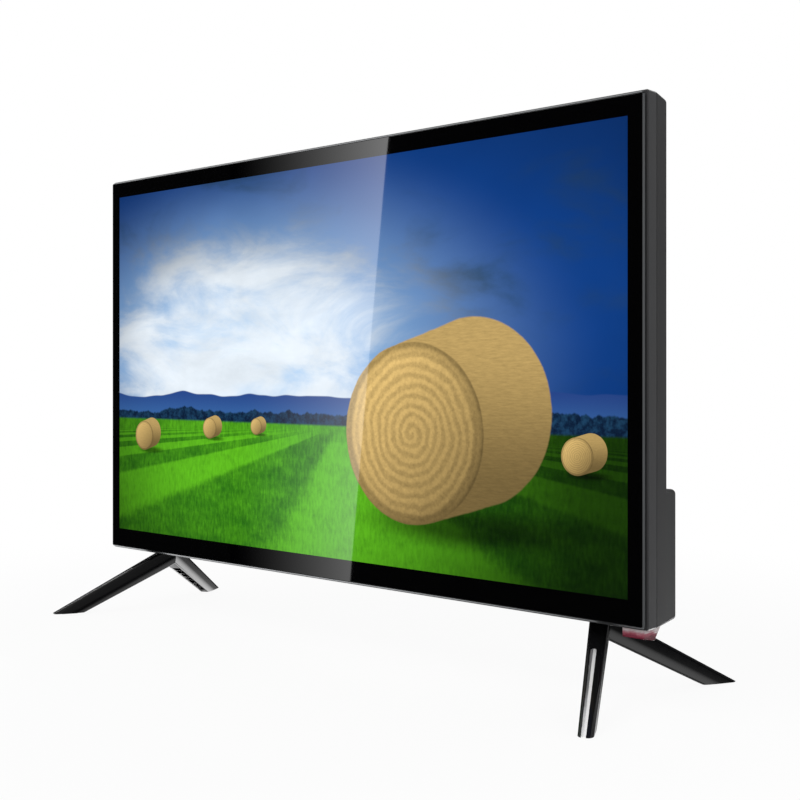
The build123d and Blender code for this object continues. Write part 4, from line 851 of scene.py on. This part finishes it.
class MakeSideFrame(bpy.types.Operator):
    """Model the side walls of the cabinet"""

    bl_idname = "television.make_side_frame"
    bl_label = "Side Frame"

    def execute(self, context):
        sizes, colours = context.scene.television_sizes, context.scene.television_colours
        seam = COVER_LOW.y
        walls = rounded_slab("side_walls", FRAME_LOW, (FRAME_HIGH.x, seam, FRAME_HIGH.z),
                             sizes.frame_corner)
        bevel_edges(walls, rim_edge(FRAME_LOW.y), sizes.frame_edge, 6)
        bevel_edges(walls, rim_edge(seam), SEAM_EDGE, 3)
        weld(walls, self.slab(sizes.wall + LIP_GAP, seam - OVERLAP, seam + LIP_DEPTH))
        carve(walls, [self.slab(sizes.wall, FRAME_LOW.y - MM, seam - LIP_DEPTH)])
        carve(walls, [self.slab(sizes.wall + LIP_WIDTH, FRAME_LOW.y, seam + 2 * LIP_DEPTH)])
        soften(walls, SMALL_RADII["frame"])
        finish = moulded_finish("side_plastic", colours.side, 0.28, 2600, 0.00002, gloss=0.12)
        hand_over(walls, finish, "side_frame")
        return {"FINISHED"}

    def slab(self, inset, front, back):
        """The frame's outline, drawn in, between two depths."""
        return block("slab", (FRAME_LOW.x + inset, front, FRAME_LOW.z + inset),
                     (FRAME_HIGH.x - inset, back, FRAME_HIGH.z - inset))


class MakeCover(bpy.types.Operator):
    """Model the hollow rear cover with its box, bays, tubes, wells, vents and grilles"""

    bl_idname = "television.make_cover"
    bl_label = "Rear Cover"

    def execute(self, context):
        self.sizes, self.stand = context.scene.television_sizes, context.scene.television_stand
        sizes, colours = self.sizes, context.scene.television_colours
        self.seam, self.back = COVER_LOW.y, COVER_HIGH.y
        self.slab_back = FRONT + sizes.slab_depth
        self.past = self.back + PAST
        cover = self.tapered("cover", self.seam, self.slab_back, 0, sizes.frame_corner,
                             sizes.slab_radius + OVERLAP)
        bevel_edges(cover, lambda edge: at_depth(edge, self.slab_back), sizes.slab_radius, 6)
        box = self.tapered("box", self.seam + MM, self.back, 0, sizes.frame_corner,
                           sizes.box_radius + MM, deep=True)
        bevel_edges(box, lambda edge: at_depth(edge, self.back), sizes.box_radius, 6)
        bevel_edges(cover, rim_edge(self.seam), SEAM_EDGE, 3)
        weld(cover, box)
        carve(cover, [self.hollow()])
        self.cut_bays(cover)
        self.cut_back(cover)
        clean_up(cover)
        bevel_edges(cover, self.is_mouth, HOLE_EDGE, 2)
        soften(cover, 0)
        finish = moulded_finish("cover_plastic", colours.cover, 0.50, 1500, 0.00005, gloss=0.06)
        hand_over(cover, finish, "rear_cover")
        return {"FINISHED"}

    def tapered(self, name, front, back, wall, corner=0.0, back_corner=0.0, deep=False):
        """A body with the outline of the slab or of the deeper box, drawn in by a wall."""
        top, top_draft = COVER_HIGH.z, self.sizes.top_draft
        if deep:
            top, top_draft, wall = COVER_LOW.z + self.sizes.box_height, self.sizes.draft, wall + NUDGE
        ends = []
        for y, radius in ((front, corner), (back, back_corner)):
            inset = self.sizes.draft * (y - self.seam) + wall
            ends.append((y, (COVER_LOW.x + inset, COVER_LOW.z + inset),
                         (COVER_HIGH.x - inset, top - top_draft * (y - self.seam) - wall), radius))
        return lofted(name, *ends)

    def is_mouth(self, edge):
        """Whether an edge bounds a hole in the back of the slab or of the box."""
        return (any(at_depth(edge, y, 10 * HERE) for y in (self.slab_back, self.back))
                and min(abs(face.normal.y) for face in edge.link_faces) < 0.5)

    def bays(self, wall, low, back):
        """The socket bays, larger by a wall."""
        return [block("bay", (left - wall, BAY_FRONT - wall, low),
                      (right + wall, back, BAY_CEILING + wall)) for left, right in BAYS]

    def tongue_sockets(self, gap, low, back=None):
        """The sockets of the stands' tongues, larger by a gap."""
        x, half = self.stand.apex_x, TONGUE_WIDTH / 2 + gap
        deep = TONGUE_DEPTH / 2 + gap
        return [block("socket", (side * x - half, -deep, low),
                      (side * x + half, back or deep, STAND_TOP + gap)) for side in (-1, 1)]

    def hollow(self):
        """The inside of the cover less all that stands in it."""
        sizes, end = self.sizes, self.back + MM
        start, low = self.seam - PAST, COVER_LOW.z - MM
        hollow = self.tapered("hollow", start, self.slab_back - sizes.wall, sizes.wall)
        weld(hollow, self.tapered("hollow_box", start + MM, self.back - sizes.wall, sizes.wall,
                                  deep=True))
        solids = self.tongue_sockets(TONGUE_GAP + SOCKET_WALL, low, end)
        solids += self.bays(BAY_WALL, low, end)
        solids += drums("tube", COVER_SCREWS, TUBE_RADIUS, self.seam + TUBE_GAP, end)
        solids += drums("post", KEY_POSTS, POST_RADIUS, KEY_POST_FRONT, end)
        solids += drums("post", [RECEIVER_POST], POST_RADIUS, RECEIVER_POST_FRONT, end)
        return carve(hollow, solids)

    def cut_bays(self, cover):
        """Bays, the cut-outs in their ceilings, the tongue sockets and the holes in the floor."""
        low, floor = COVER_LOW.z - PAST, COVER_LOW.z + 2 * self.sizes.wall
        cutters = self.bays(0, low, self.past) + self.tongue_sockets(TONGUE_GAP, low)
        vent = block("floor_vent", (*FLOOR_VENT[0], low), (*FLOOR_VENT[1], floor))
        cutters += copies(vent, FLOOR_VENTS, FLOOR_VENT_PITCH)
        cutters.append(block("lens_hole", (*LENS_HOLE[0], low), (*LENS_HOLE[1], floor)))
        carve(cover, cutters)
        ceiling = (BAY_CEILING - MM, BAY_CEILING + 3 * MM)
        holes = [drum("hole", (x, ROUND_SOCKET_Y), radius + SOCKET_GAP, *ceiling, axis=2)
                 for x, radius in ROUND_SOCKETS]
        for name in SOCKETS:
            socket_low, socket_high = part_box(name)
            front = socket_low.y if name == "mains_inlet" else BAY_FRONT + BAY_WALL / 2
            back = front + socket_high.y - socket_low.y
            holes.append(block("hole", (socket_low.x - SOCKET_GAP, front - SOCKET_GAP, ceiling[0]),
                               (socket_high.x + SOCKET_GAP, back + SOCKET_GAP, ceiling[1])))
        carve(cover, holes)

    def slots(self, middle, width, count, pitch, start, low, high, rounding):
        """A row of upright slots."""
        left = middle - (count - 1) * pitch / 2
        slot = rounded_slab("slot", (left - width / 2, start, low), (left + width / 2, self.past, high),
                            width * rounding, 3)
        return copies(slot, count, pitch)

    def cut_back(self, cover):
        """Wells and holes of the screws, key slots, wall mount holes, vents and grilles."""
        sizes = self.sizes
        well = FRONT + WELL_FLOOR
        start = self.slab_back - sizes.wall - MM
        cutters = drums("well", COVER_SCREWS, WELL_RADIUS, well, self.past)
        cutters += drums("well", STAND_SCREWS, STAND_WELL_RADIUS, STAND_WELL_FLOOR, self.past)
        cutters += drums("hole", WALL_HOLES, WALL_HOLE_RADIUS, start, self.past)
        half_width = sizes.key_width / 2 + KEY_GAP
        half_height = sizes.key_height / 2 + KEY_GAP
        for key in KEYS:
            low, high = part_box(f"key_{key}")
            x, z = (low.x + high.x) / 2, (low.z + high.z) / 2
            cutters.append(rounded_slab("slot", (x - half_width, start, z - half_height),
                                        (x + half_width, self.past, z + half_height),
                                        ALMOST_ROUND * half_height, 8))
        for low, high in VENT_ROWS:
            cutters += self.slots(0, sizes.vent_width, sizes.vents, sizes.vent_pitch,
                                  start, low, high, VENT_ROUND)
        half = sizes.grille_length / 2
        for side in (-1, 1):
            cutters += self.slots(side * SPEAKER_X, sizes.grille_width, sizes.grille_slots,
                                  sizes.grille_pitch, self.back - sizes.wall - MM,
                                  SPEAKER_Z - half, SPEAKER_Z + half, GRILLE_ROUND)
        carve(cover, cutters)
        shanks = drums("shank", COVER_SCREWS, SCREW_HOLE, self.seam - MM, well + OVERLAP, 20)
        shanks += drums("shank", STAND_SCREWS, STAND_SCREW_HOLE, 0, STAND_WELL_FLOOR + OVERLAP, 20)
        carve(cover, shanks)


class MakeKeys(bpy.types.Operator):
    """Model the seven keys on the back"""

    bl_idname = "television.make_keys"
    bl_label = "Keys"

    def execute(self, context):
        sizes = context.scene.television_sizes
        finish = moulded_finish("key_black", (0.016, 0.016, 0.017), 0.35, 1800, 0.00003)
        low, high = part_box("key_power")
        x, z = (low.x + high.x) / 2, (low.z + high.z) / 2
        inside = FRONT + sizes.slab_depth - sizes.wall - KEY_GAP
        half = sizes.key_height / 2
        cap = rounded_slab("cap", (x - sizes.key_width / 2, inside - OVERLAP, z - half),
                           (x + sizes.key_width / 2, high.y, z + half), ALMOST_ROUND * half, 8)
        bevel_edges(cap, lambda edge: middle_of(edge).y > high.y - HERE, KEY_EDGE)
        choose(cap, "FACE", faces_back)
        bpy.ops.mesh.inset(thickness=KEY_RIM)
        bpy.ops.transform.translate(value=(0, -KEY_DISH, 0))
        bpy.ops.object.mode_set(mode="OBJECT")
        weld(cap, block("flange", (low.x, inside - MM, low.z), (high.x, inside, high.z)),
             drum("stem", (x, z), KEY_STEM, low.y, inside - 0.5 * MM, sides=20))
        soften(cap, SMALL_RADII["key"], 1)
        for key in KEYS:
            piece = copy_of(cap, f"cap_{key}")
            piece.location.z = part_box(f"key_{key}")[0].z - low.z
            settle(piece)
            hand_over(piece, finish, f"key_{key}", f"body_key_{key}")
        bpy.data.objects.remove(cap)
        return {"FINISHED"}


class MakeLens(bpy.types.Operator):
    """Model the clear red lens of the receiver"""

    bl_idname = "television.make_lens"
    bl_label = "Receiver Lens"

    def execute(self, context):
        sizes, colours = context.scene.television_sizes, context.scene.television_colours
        top, front, back = FRAME_LOW.z, FRONT + LENS_FRONT, FRONT + LENS_BACK
        lens = block("receiver_lens", (LENS_LOW.x, front, LENS_LOW.z), (LENS_HIGH.x, back, top))
        move(lens, "EDGE", lambda edge: at_depth(edge, back) and middle_of(edge).z < LENS_LOW.z + HERE,
             (0, LENS_FOOT - LENS_BACK, -sizes.lens_fall))
        move(lens, "EDGE", lambda edge: at_depth(edge, back), (0, 0, sizes.draft * (back - COVER_LOW.y)))
        bevel_edges(lens, lambda edge: at_depth(edge, front) and runs_along(edge, 2), LENS_EDGE)
        weld(lens, block("neck", (LENS_LOW.x + NECK_INSET, FRONT + NECK_FRONT, top - MM),
                         (LENS_HIGH.x - NECK_INSET, FRONT + NECK_BACK, LENS_HIGH.z)))
        soften(lens, SMALL_RADII["lens"])
        hand_over(lens, lens_finish(colours), "ir_lens")
        return {"FINISHED"}


class MakeStands(bpy.types.Operator):
    """Model the two hollow V-shaped stands"""

    bl_idname = "television.make_stands"
    bl_label = "Stands"

    def execute(self, context):
        self.sizes, colours = context.scene.television_stand, context.scene.television_colours
        sizes = self.sizes
        # The second finish, the silver strip, is a painted highlight along the top of each leg.
        finishes = (moulded_finish("stand_black", colours.stand, 0.12, 260, 0.000006, gloss=0.15),
                    grained_finish("silver_highlight_strip", colours.strip, (0.93, 0.12), (0.28, 0.12),
                                   (EVEN, 1800, 3, 0.6), metallic=0.85))
        right = self.legs(sizes)
        half = TONGUE_WIDTH / 2, TONGUE_DEPTH / 2
        tongue = block("tongue", (sizes.apex_x - half[0], -half[1], FRAME_LOW.z + OVERLAP),
                       (sizes.apex_x + half[0], half[1], STAND_TOP))
        bevel_edges(tongue, lambda edge: middle_of(edge).z > STAND_TOP - HERE, TONGUE_EDGE, 1)
        root = block("root", (sizes.apex_x - half[0] / 2, -half[1] / 2, FRAME_LOW.z - ROOT_DEPTH),
                     (sizes.apex_x + half[0] / 2, half[1] / 2, FRAME_LOW.z + MM))
        weld(right, tongue, root)
        soften(right, SMALL_RADII["stand"], 3)
        dress(right, *finishes)
        for front in (1, -1):
            flute = self.flute()
            dress(flute, *finishes)
            # The flute's floor takes the silver strip, a painted highlight along the leg.
            for face in flute.data.polygons:
                face.material_index = 1 if face.normal.y < -0.8 else 0
            mouth = self.bar("mouth", sizes.hollow_start, sizes.hollow_end, (-0.5, 0.5), (-1, -0.5),
                             sizes.wall, 0, RIB_RECESS)
            for cutters in ([mouth], self.pockets(), [flute]):
                for cutter in cutters:
                    cutter.matrix_world = Matrix.Diagonal((1, front, 1, 1)) @ self.lay
                    clean_up(settle(cutter))
                carve(right, cutters)
        left = copy_of(right, "stand_left")
        left.scale.x = -1
        clean_up(settle(left))
        for stand, node in ((right, "right_stand"), (left, "left_stand")):
            soften(stand, 0)
            hand_over(stand, None, node)
        return {"FINISHED"}

    def legs(self, sizes):
        """Both legs of the right stand, from one leg made along Z and laid in its place."""
        apex = Vector((sizes.apex_x, 0, FRAME_LOW.z - sizes.apex_drop))
        foot = Vector((sizes.foot_x, -sizes.foot_y, 0))
        line = foot - apex
        self.run = line.length
        axis = line.normalized()
        side = Vector((0, 0, 1)).cross(axis).normalized()
        self.lay = Matrix.Translation(apex) @ Matrix((side, axis.cross(side), axis)).transposed().to_4x4()
        leg = self.bar("stand_right", *LEG_ENDS, (-0.5, 0.5), (-0.5, 0.5))
        self.curve_sides(leg)
        bevel_edges(leg, lambda edge: runs_along(edge, 2) and middle_of(edge).y > HERE,
                    sizes.crown * (sizes.top_width + sizes.foot_width) / 2, 8)
        bevel_edges(leg, lambda edge: runs_along(edge, 2) and middle_of(edge).y < LOW_EDGES,
                    sizes.lower * sizes.foot_width, 5)
        leg.matrix_world = self.lay
        settle(leg)
        flat = Vector((line.x, line.y, 0))
        turn = Matrix.Rotation(atan2(line.y, line.x), 4, "Z")
        self.round_tip(leg, foot, flat, turn, line)
        pad = block("pad_seat", (-PAD_LENGTH / 2, -PAD_WIDTH / 2, -MM),
                    (PAD_LENGTH / 2, PAD_WIDTH / 2, PAD_HEIGHT))
        bevel_edges(pad, lambda edge: runs_along(edge, 2), ALMOST_ROUND * PAD_WIDTH / 2, 8)
        pad.matrix_world = Matrix.Translation(foot - flat.normalized() * PAD_SHIFT) @ turn
        carve(leg, [settle(pad)])
        slice_all(leg, (0, 0, PAD_RISE), (0, 0, 1), use_fill=True, clear_inner=True)
        slice_all(leg, (0, 0, FRAME_LOW.z), (0, 0, 1), use_fill=True, clear_outer=True)
        slice_all(leg, (0, 0, 0), (0, 1, 0), clear_outer=True)
        modify(leg, "MIRROR", use_axis=(False, True, False), merge_threshold=HERE)
        clean_up(leg)
        return leg

    def curve_sides(self, leg):
        """Draw in the lower half of a leg's sides along a curve."""
        low = self.height(0.5) / 2
        levels = [-part * low for part in CURVE_LEVELS]
        for level in levels:
            slice_all(leg, (0, level, 0), (0, 1, 0))
        for level in levels[1:] + [-low]:
            if level == -low:
                choose(leg, "VERT", lambda corner: corner.co.y < LOW_EDGES)
            else:
                choose(leg, "VERT", lambda corner: abs(corner.co.y - level) < 10 * HERE)
            bpy.ops.transform.resize(value=(1 - self.sizes.draw_in * (level / low) ** 2, 1, 1),
                                     center_override=(0, 0, 0))
        bpy.ops.object.mode_set(mode="OBJECT")

    def round_tip(self, leg, foot, flat, turn, line):
        """Round the tip of a leg, as seen from above."""
        sizes = self.sizes
        slope = atan2(-line.z, flat.length)
        reach = sizes.foot_height / 2 / sin(slope)
        taper = (sizes.top_width - sizes.foot_width) / flat.length
        radius = self.width(1 + reach / flat.length) / (2 - taper)
        reach -= PAD_RISE / tan(slope)
        past = block("past", *PAST_TIP)
        carve(past, [drum("tip", (0, 0), radius, -10 * MM, 20 * MM, 2, 48)])
        past.matrix_world = Matrix.Translation(foot + flat.normalized() * (reach - radius)) @ turn
        carve(leg, [settle(past)])

    def width(self, at):
        return self.sizes.top_width + (self.sizes.foot_width - self.sizes.top_width) * at

    def height(self, at):
        return self.sizes.top_height + (self.sizes.foot_height - self.sizes.top_height) * at

    def bar(self, name, start, end, across, up, inset=0.0, low=0.0, high=0.0):
        """A tapered bar between two shares of the leg, as shares of its width and height."""
        near, far = (
            (Vector((across[0] * self.width(at) + inset, up[0] * self.height(at) + low, at * self.run)),
             Vector((across[1] * self.width(at) - inset, up[1] * self.height(at) + high, at * self.run)))
            for at in (start, end)
        )
        bar = block(name, near[0], (near[1].x, near[1].y, end * self.run))
        choose(bar, "FACE", lambda face: face.normal.z > 0.9)
        size, far_size = near[1] - near[0], far[1] - far[0]
        shift = (far[0] + far[1] - near[0] - near[1]) / 2
        bpy.ops.transform.resize(value=(far_size.x / size.x, far_size.y / size.y, 1),
                                 center_override=(near[0] + near[1]) / 2)
        bpy.ops.transform.translate(value=(shift.x, shift.y, 0))
        bpy.ops.object.mode_set(mode="OBJECT")
        return bar

    def pockets(self):
        """What is hollowed out of a leg from below, between its cross ribs."""
        sizes = self.sizes
        step = (sizes.hollow_end - sizes.hollow_start) / (sizes.ribs + 1)
        half_rib = sizes.rib / 2 / self.run
        lip = 1.5 * OVERLAP / self.run
        pockets = []
        for number in range(sizes.ribs + 1):
            start = sizes.hollow_start + number * step + (half_rib if number else lip)
            end = sizes.hollow_start + (number + 1) * step - (half_rib if number < sizes.ribs else lip)
            pockets.append(self.bar("pocket", start, end, (-0.5, 0.5), (-0.9, 0.5),
                                    sizes.wall + OVERLAP, 0, -sizes.wall))
        return pockets

    def flute(self):
        """The shallow flute on top of a leg: a folded floor, rounded where it starts."""
        sizes = self.sizes
        start, end = sizes.flute_start, FLUTE_END
        outer, inner = sizes.flute_outer, sizes.flute_inner
        flute = self.bar("flute", start, end, (outer, inner), (0.5, 0.5), 0, -sizes.flute_depth, 2 * MM)
        first = start * self.run
        bevel_edges(flute, lambda edge: runs_along(edge, 1) and middle_of(edge).z < first + HERE,
                    FLUTE_ROUND * (inner - outer) * self.width(start) / 2, 8)
        fold = outer + FLUTE_FOLD_SHARE * (inner - outer)
        near, far = (Vector((self.width(at) * fold, 0, at * self.run)) for at in (start, end))
        direction = (far - near).cross(Vector((0, 1, 0))).normalized()
        slice_all(flute, near, direction)

        def in_floor(edge):
            middle = middle_of(edge)
            return (runs_along(edge, 2) and abs((middle - near).dot(direction)) < HERE
                    and middle.y < self.height(middle.z / self.run) / 2)

        move(flute, "EDGE", in_floor, (0, -FLUTE_FOLD, 0))
        return flute


class DressNodes(bpy.types.Operator):
    """Give every carried-over node its material"""

    bl_idname = "television.dress_nodes"
    bl_label = "Carried-Over Pieces"

    def execute(self, context):
        drawn = (1, 1, 0.05)
        finishes = (
            (satin_metal_finish("zinc_steel", (0.42, 0.43, 0.44), 0.35, drawn),
             "back_pan vesa_posts panel_screws board_screws"),
            (satin_metal_finish("socket_shell", (0.55, 0.55, 0.56), 0.28, drawn),
             "antenna_socket hdmi_socket usb_socket"),
            (satin_metal_finish("sink_aluminium", (0.55, 0.56, 0.57), 0.38, (1, 1, 0.03)),
             "led_bar heat_sink power_sink"),
            (satin_metal_finish("black_screw", (0.02, 0.02, 0.021), 0.35, EVEN),
             "cover_screws stand_screws"),
            (board_finish("board_green", (0.008, 0.07, 0.022), (0.02, 0.14, 0.045)),
             "source_board main_board ir_board key_board"),
            (board_finish("board_brown", (0.20, 0.11, 0.045), (0.28, 0.17, 0.07)), "power_board"),
            (moulded_finish("socket_black", (0.012, 0.012, 0.013), 0.45, 1500, 0.00003),
             "headphone_socket mains_inlet"),
            (moulded_finish("cell_glass", (0.02, 0.02, 0.025), 0.10, 60, 0.000005), "lcd_cell"),
            (moulded_finish("panel_frame", (0.75, 0.75, 0.72), 0.45, 1200, 0.00002), "mould_frame"),
            (moulded_finish("phono_yellow", (0.60, 0.45, 0.03), 0.35, 900, 0.00002), "phono_sockets"),
            (moulded_finish("socket_blue", (0.01, 0.04, 0.25), 0.40, 1200, 0.00002), "vga_socket"),
            (grained_finish("pad_rubber", (0.012, 0.012, 0.012), (0.6, 0.8), (0.75, 0.15),
                            (EVEN, 1400, 4, 0.7), 0.0001, gloss=0.3), "foot_pads"),
            (film_finish("prism_sheet", (0.75, 0.77, 0.80), 0.15), "prism_sheet"),
            (film_finish("diffuser_sheet", (0.82, 0.82, 0.82), 0.55), "diffuser_sheet"),
            (film_finish("light_guide", (0.80, 0.85, 0.87), 0.06), "light_guide"),
            (film_finish("reflector_sheet", (0.85, 0.85, 0.85), 0.30), "reflector_sheet"),
            (sleeve_finish("flex_amber", (0.35, 0.16, 0.02), 0.30), "cell_flexes"),
            (sleeve_finish("ribbon_film", (0.38, 0.20, 0.04), 0.30), "panel_ribbon"),
            (sleeve_finish("transformer_tape", (0.60, 0.42, 0.05), 0.35), "transformer"),
            (sleeve_finish("capacitor_sleeve", (0.012, 0.014, 0.03), 0.25), "capacitors"),
            (sleeve_finish("speaker_cone", (0.015, 0.015, 0.016), 0.70), "left_speaker right_speaker"),
            (sleeve_finish("lead_white", (0.65, 0.65, 0.62), 0.45), "power_lead key_lead ir_lead"),
            (sleeve_finish("lead_black", (0.015, 0.015, 0.015), 0.45),
             "left_speaker_lead right_speaker_lead"),
        )
        for finish, names in finishes:
            for name in names.split():
                dress(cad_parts[name], finish)
        return {"FINISHED"}


class MakeStage(bpy.types.Operator):
    """Set up the camera, the lights, the floor and the world"""

    bl_idname = "television.make_stage"
    bl_label = "Stage"

    def execute(self, context):
        stage = context.scene.television_stage
        context.scene.view_settings.view_transform = "Standard"
        self.camera(context, stage)
        self.floor()
        self.card(stage)
        self.world(context, stage)
        for lamp in LAMPS:
            self.lamp(*lamp)
        return {"FINISHED"}

    def camera(self, context, stage):
        """The camera at the photograph's angle."""
        deselect()
        bpy.ops.object.camera_add(location=stage.camera_place, rotation=(pi / 2, 0, stage.camera_turn))
        camera = context.object
        camera.data.sensor_width = 36
        camera.data.lens = stage.camera_lens
        camera.data.shift_y = -stage.camera_shift
        context.scene.camera = camera

    def plane(self, name, size, middle, turn, scale=(1, 1, 1)):
        """A plane of the stage."""
        deselect()
        bpy.ops.mesh.primitive_plane_add(size=size, location=middle, rotation=(turn, 0, 0))
        plane = bpy.context.object
        plane.name = name
        plane.scale = scale
        return settle(plane)

    def floor(self):
        """A pale floor that runs out to the white of the background and shows in no reflection."""
        floor = self.plane("floor", 12, (0, 0, 0), 0)
        finish = Finish("floor_white", {"Base Color": (0.80, 0.80, 0.80), "Roughness": 0.6,
                                        "Specular IOR Level": 0.2})
        x, y, _ = finish.coordinates()
        far = hypot_of(x, y).rise(0.30, 0.7)
        seen = finish.node("ShaderNodeLightPath", output="Is Camera Ray")
        white = finish.node("ShaderNodeEmission", None, {"Color": (1, 1, 1), "Strength": 1.0})
        lit = Wire(finish, finish.shader.outputs[0])
        mixed = finish.node("ShaderNodeMixShader", None,
                            {0: seen * (0.93 + 0.07 * far), 1: lit, 2: white})
        mirrored = finish.node("ShaderNodeLightPath", output="Is Glossy Ray")
        mixed = finish.node("ShaderNodeMixShader", None,
                            {0: mirrored, 1: mixed, 2: finish.node("ShaderNodeBsdfTransparent")})
        finish.plug(finish.tree.nodes["Material Output"].inputs["Surface"], mixed)
        dress(floor, finish.material)

    def card(self, stage):
        """The lit card that the front glass mirrors as a soft band with one sharp edge."""
        edge, fade = stage.card_edge, stage.card_fade
        middle = edge - fade / 2, stage.card_y, (CARD_LOW + CARD_HIGH) / 2
        card = self.plane("card", 1, middle, pi / 2, (fade, CARD_HIGH - CARD_LOW, 1))
        for end in (CARD_LOW, CARD_HIGH):
            corner = Vector((edge, stage.card_y, end))
            move(card, "VERT", lambda vertex: (vertex.co - corner).length < HERE,
                 (CARD_LEAN * (end - CARD_PIVOT), 0, 0))
        finish = Finish("card_light", {"Base Color": (0, 0, 0), "Specular IOR Level": 0.0,
                                       "Emission Strength": stage.card_light})
        x, _, _ = finish.coordinates()
        level = ((x - (edge - fade)) / fade).math("MAXIMUM", 0.0) ** 2.2
        dress(card, finish.use(emission_color=finish.scaled((1, 1, 1), level)))
        for ray in ("camera", "diffuse", "shadow", "transmission"):
            setattr(card, f"visible_{ray}", False)

    def world(self, context, stage):
        """White to the camera, a plain room to all else, and a dark one with bright sides to gloss."""
        world = bpy.data.worlds.new("studio")
        context.scene.world = world
        world.use_nodes = True
        sky = Nodes(world.node_tree)
        x, y, z = sky.coordinates("Generated")
        mirrored = GLOSS_DARK
        for (to_x, to_y, to_z), start, end, level in GLOSS_LIGHTS:
            mirrored = mirrored + (x * to_x + y * to_y + z * to_z).rise(start, end) * level
        camera, through, gloss = (sky.node("ShaderNodeLightPath", output=f"Is {kind} Ray")
                                  for kind in ("Camera", "Transmission", "Glossy"))
        seen = camera.math("MAXIMUM", through)
        room = gloss * mirrored + (1 - gloss) * stage.room_light
        background = world.node_tree.nodes["Background"]
        background.inputs["Color"].default_value = (1, 1, 1, 1)
        sky.plug(background.inputs["Strength"], seen + (1 - seen) * room)

    def lamp(self, name, place, target, size, power):
        """A soft rectangular lamp that faces a point."""
        deselect()
        aim = (Vector(target) - Vector(place)).to_track_quat("-Z", "Y").to_euler()
        bpy.ops.object.light_add(type="AREA", location=place, rotation=aim)
        lamp = bpy.context.object
        lamp.name = name
        lamp.data.shape = "RECTANGLE"
        lamp.data.size, lamp.data.size_y = size
        lamp.data.energy = power


class TelevisionPanel(bpy.types.Panel):
    """Sizes, colours and steps of the television"""

    bl_idname = "VIEW3D_PT_television"
    bl_label = "Television"
    bl_space_type = "VIEW_3D"
    bl_region_type = "UI"
    bl_category = "Television"

    def draw(self, context):
        for group in ("television_sizes", "television_stand", "television_colours", "television_stage"):
            box = self.layout.box()
            settings = getattr(context.scene, group)
            for name in settings.__annotations__:
                box.prop(settings, name)
        for operator in OPERATORS:
            self.layout.operator(operator.bl_idname)


GROUPS = {
    "television_sizes": TelevisionSizes,
    "television_stand": TelevisionStand,
    "television_colours": TelevisionColours,
    "television_stage": TelevisionStage,
}
OPERATORS = (MakeStage, MakeFrontGlass, MakeTrim, MakeSideFrame, MakeCover, MakeKeys, MakeLens,
             MakeStands, DressNodes)
CLASSES = (*GROUPS.values(), *OPERATORS, TelevisionPanel)


def register():
    for kind in CLASSES:
        bpy.utils.register_class(kind)
    for name, group in GROUPS.items():
        setattr(bpy.types.Scene, name, PointerProperty(type=group))


def unregister():
    for name in GROUPS:
        delattr(bpy.types.Scene, name)
    for kind in reversed(CLASSES):
        bpy.utils.unregister_class(kind)


def main():
    register()
    bpy.ops.television.make_stage()
    bpy.ops.television.make_front_glass()
    bpy.ops.television.make_trim()
    bpy.ops.television.make_side_frame()
    bpy.ops.television.make_cover()
    bpy.ops.television.make_keys()
    bpy.ops.television.make_lens()
    bpy.ops.television.make_stands()
    bpy.ops.television.dress_nodes()


if __name__ == "__main__":
    main()
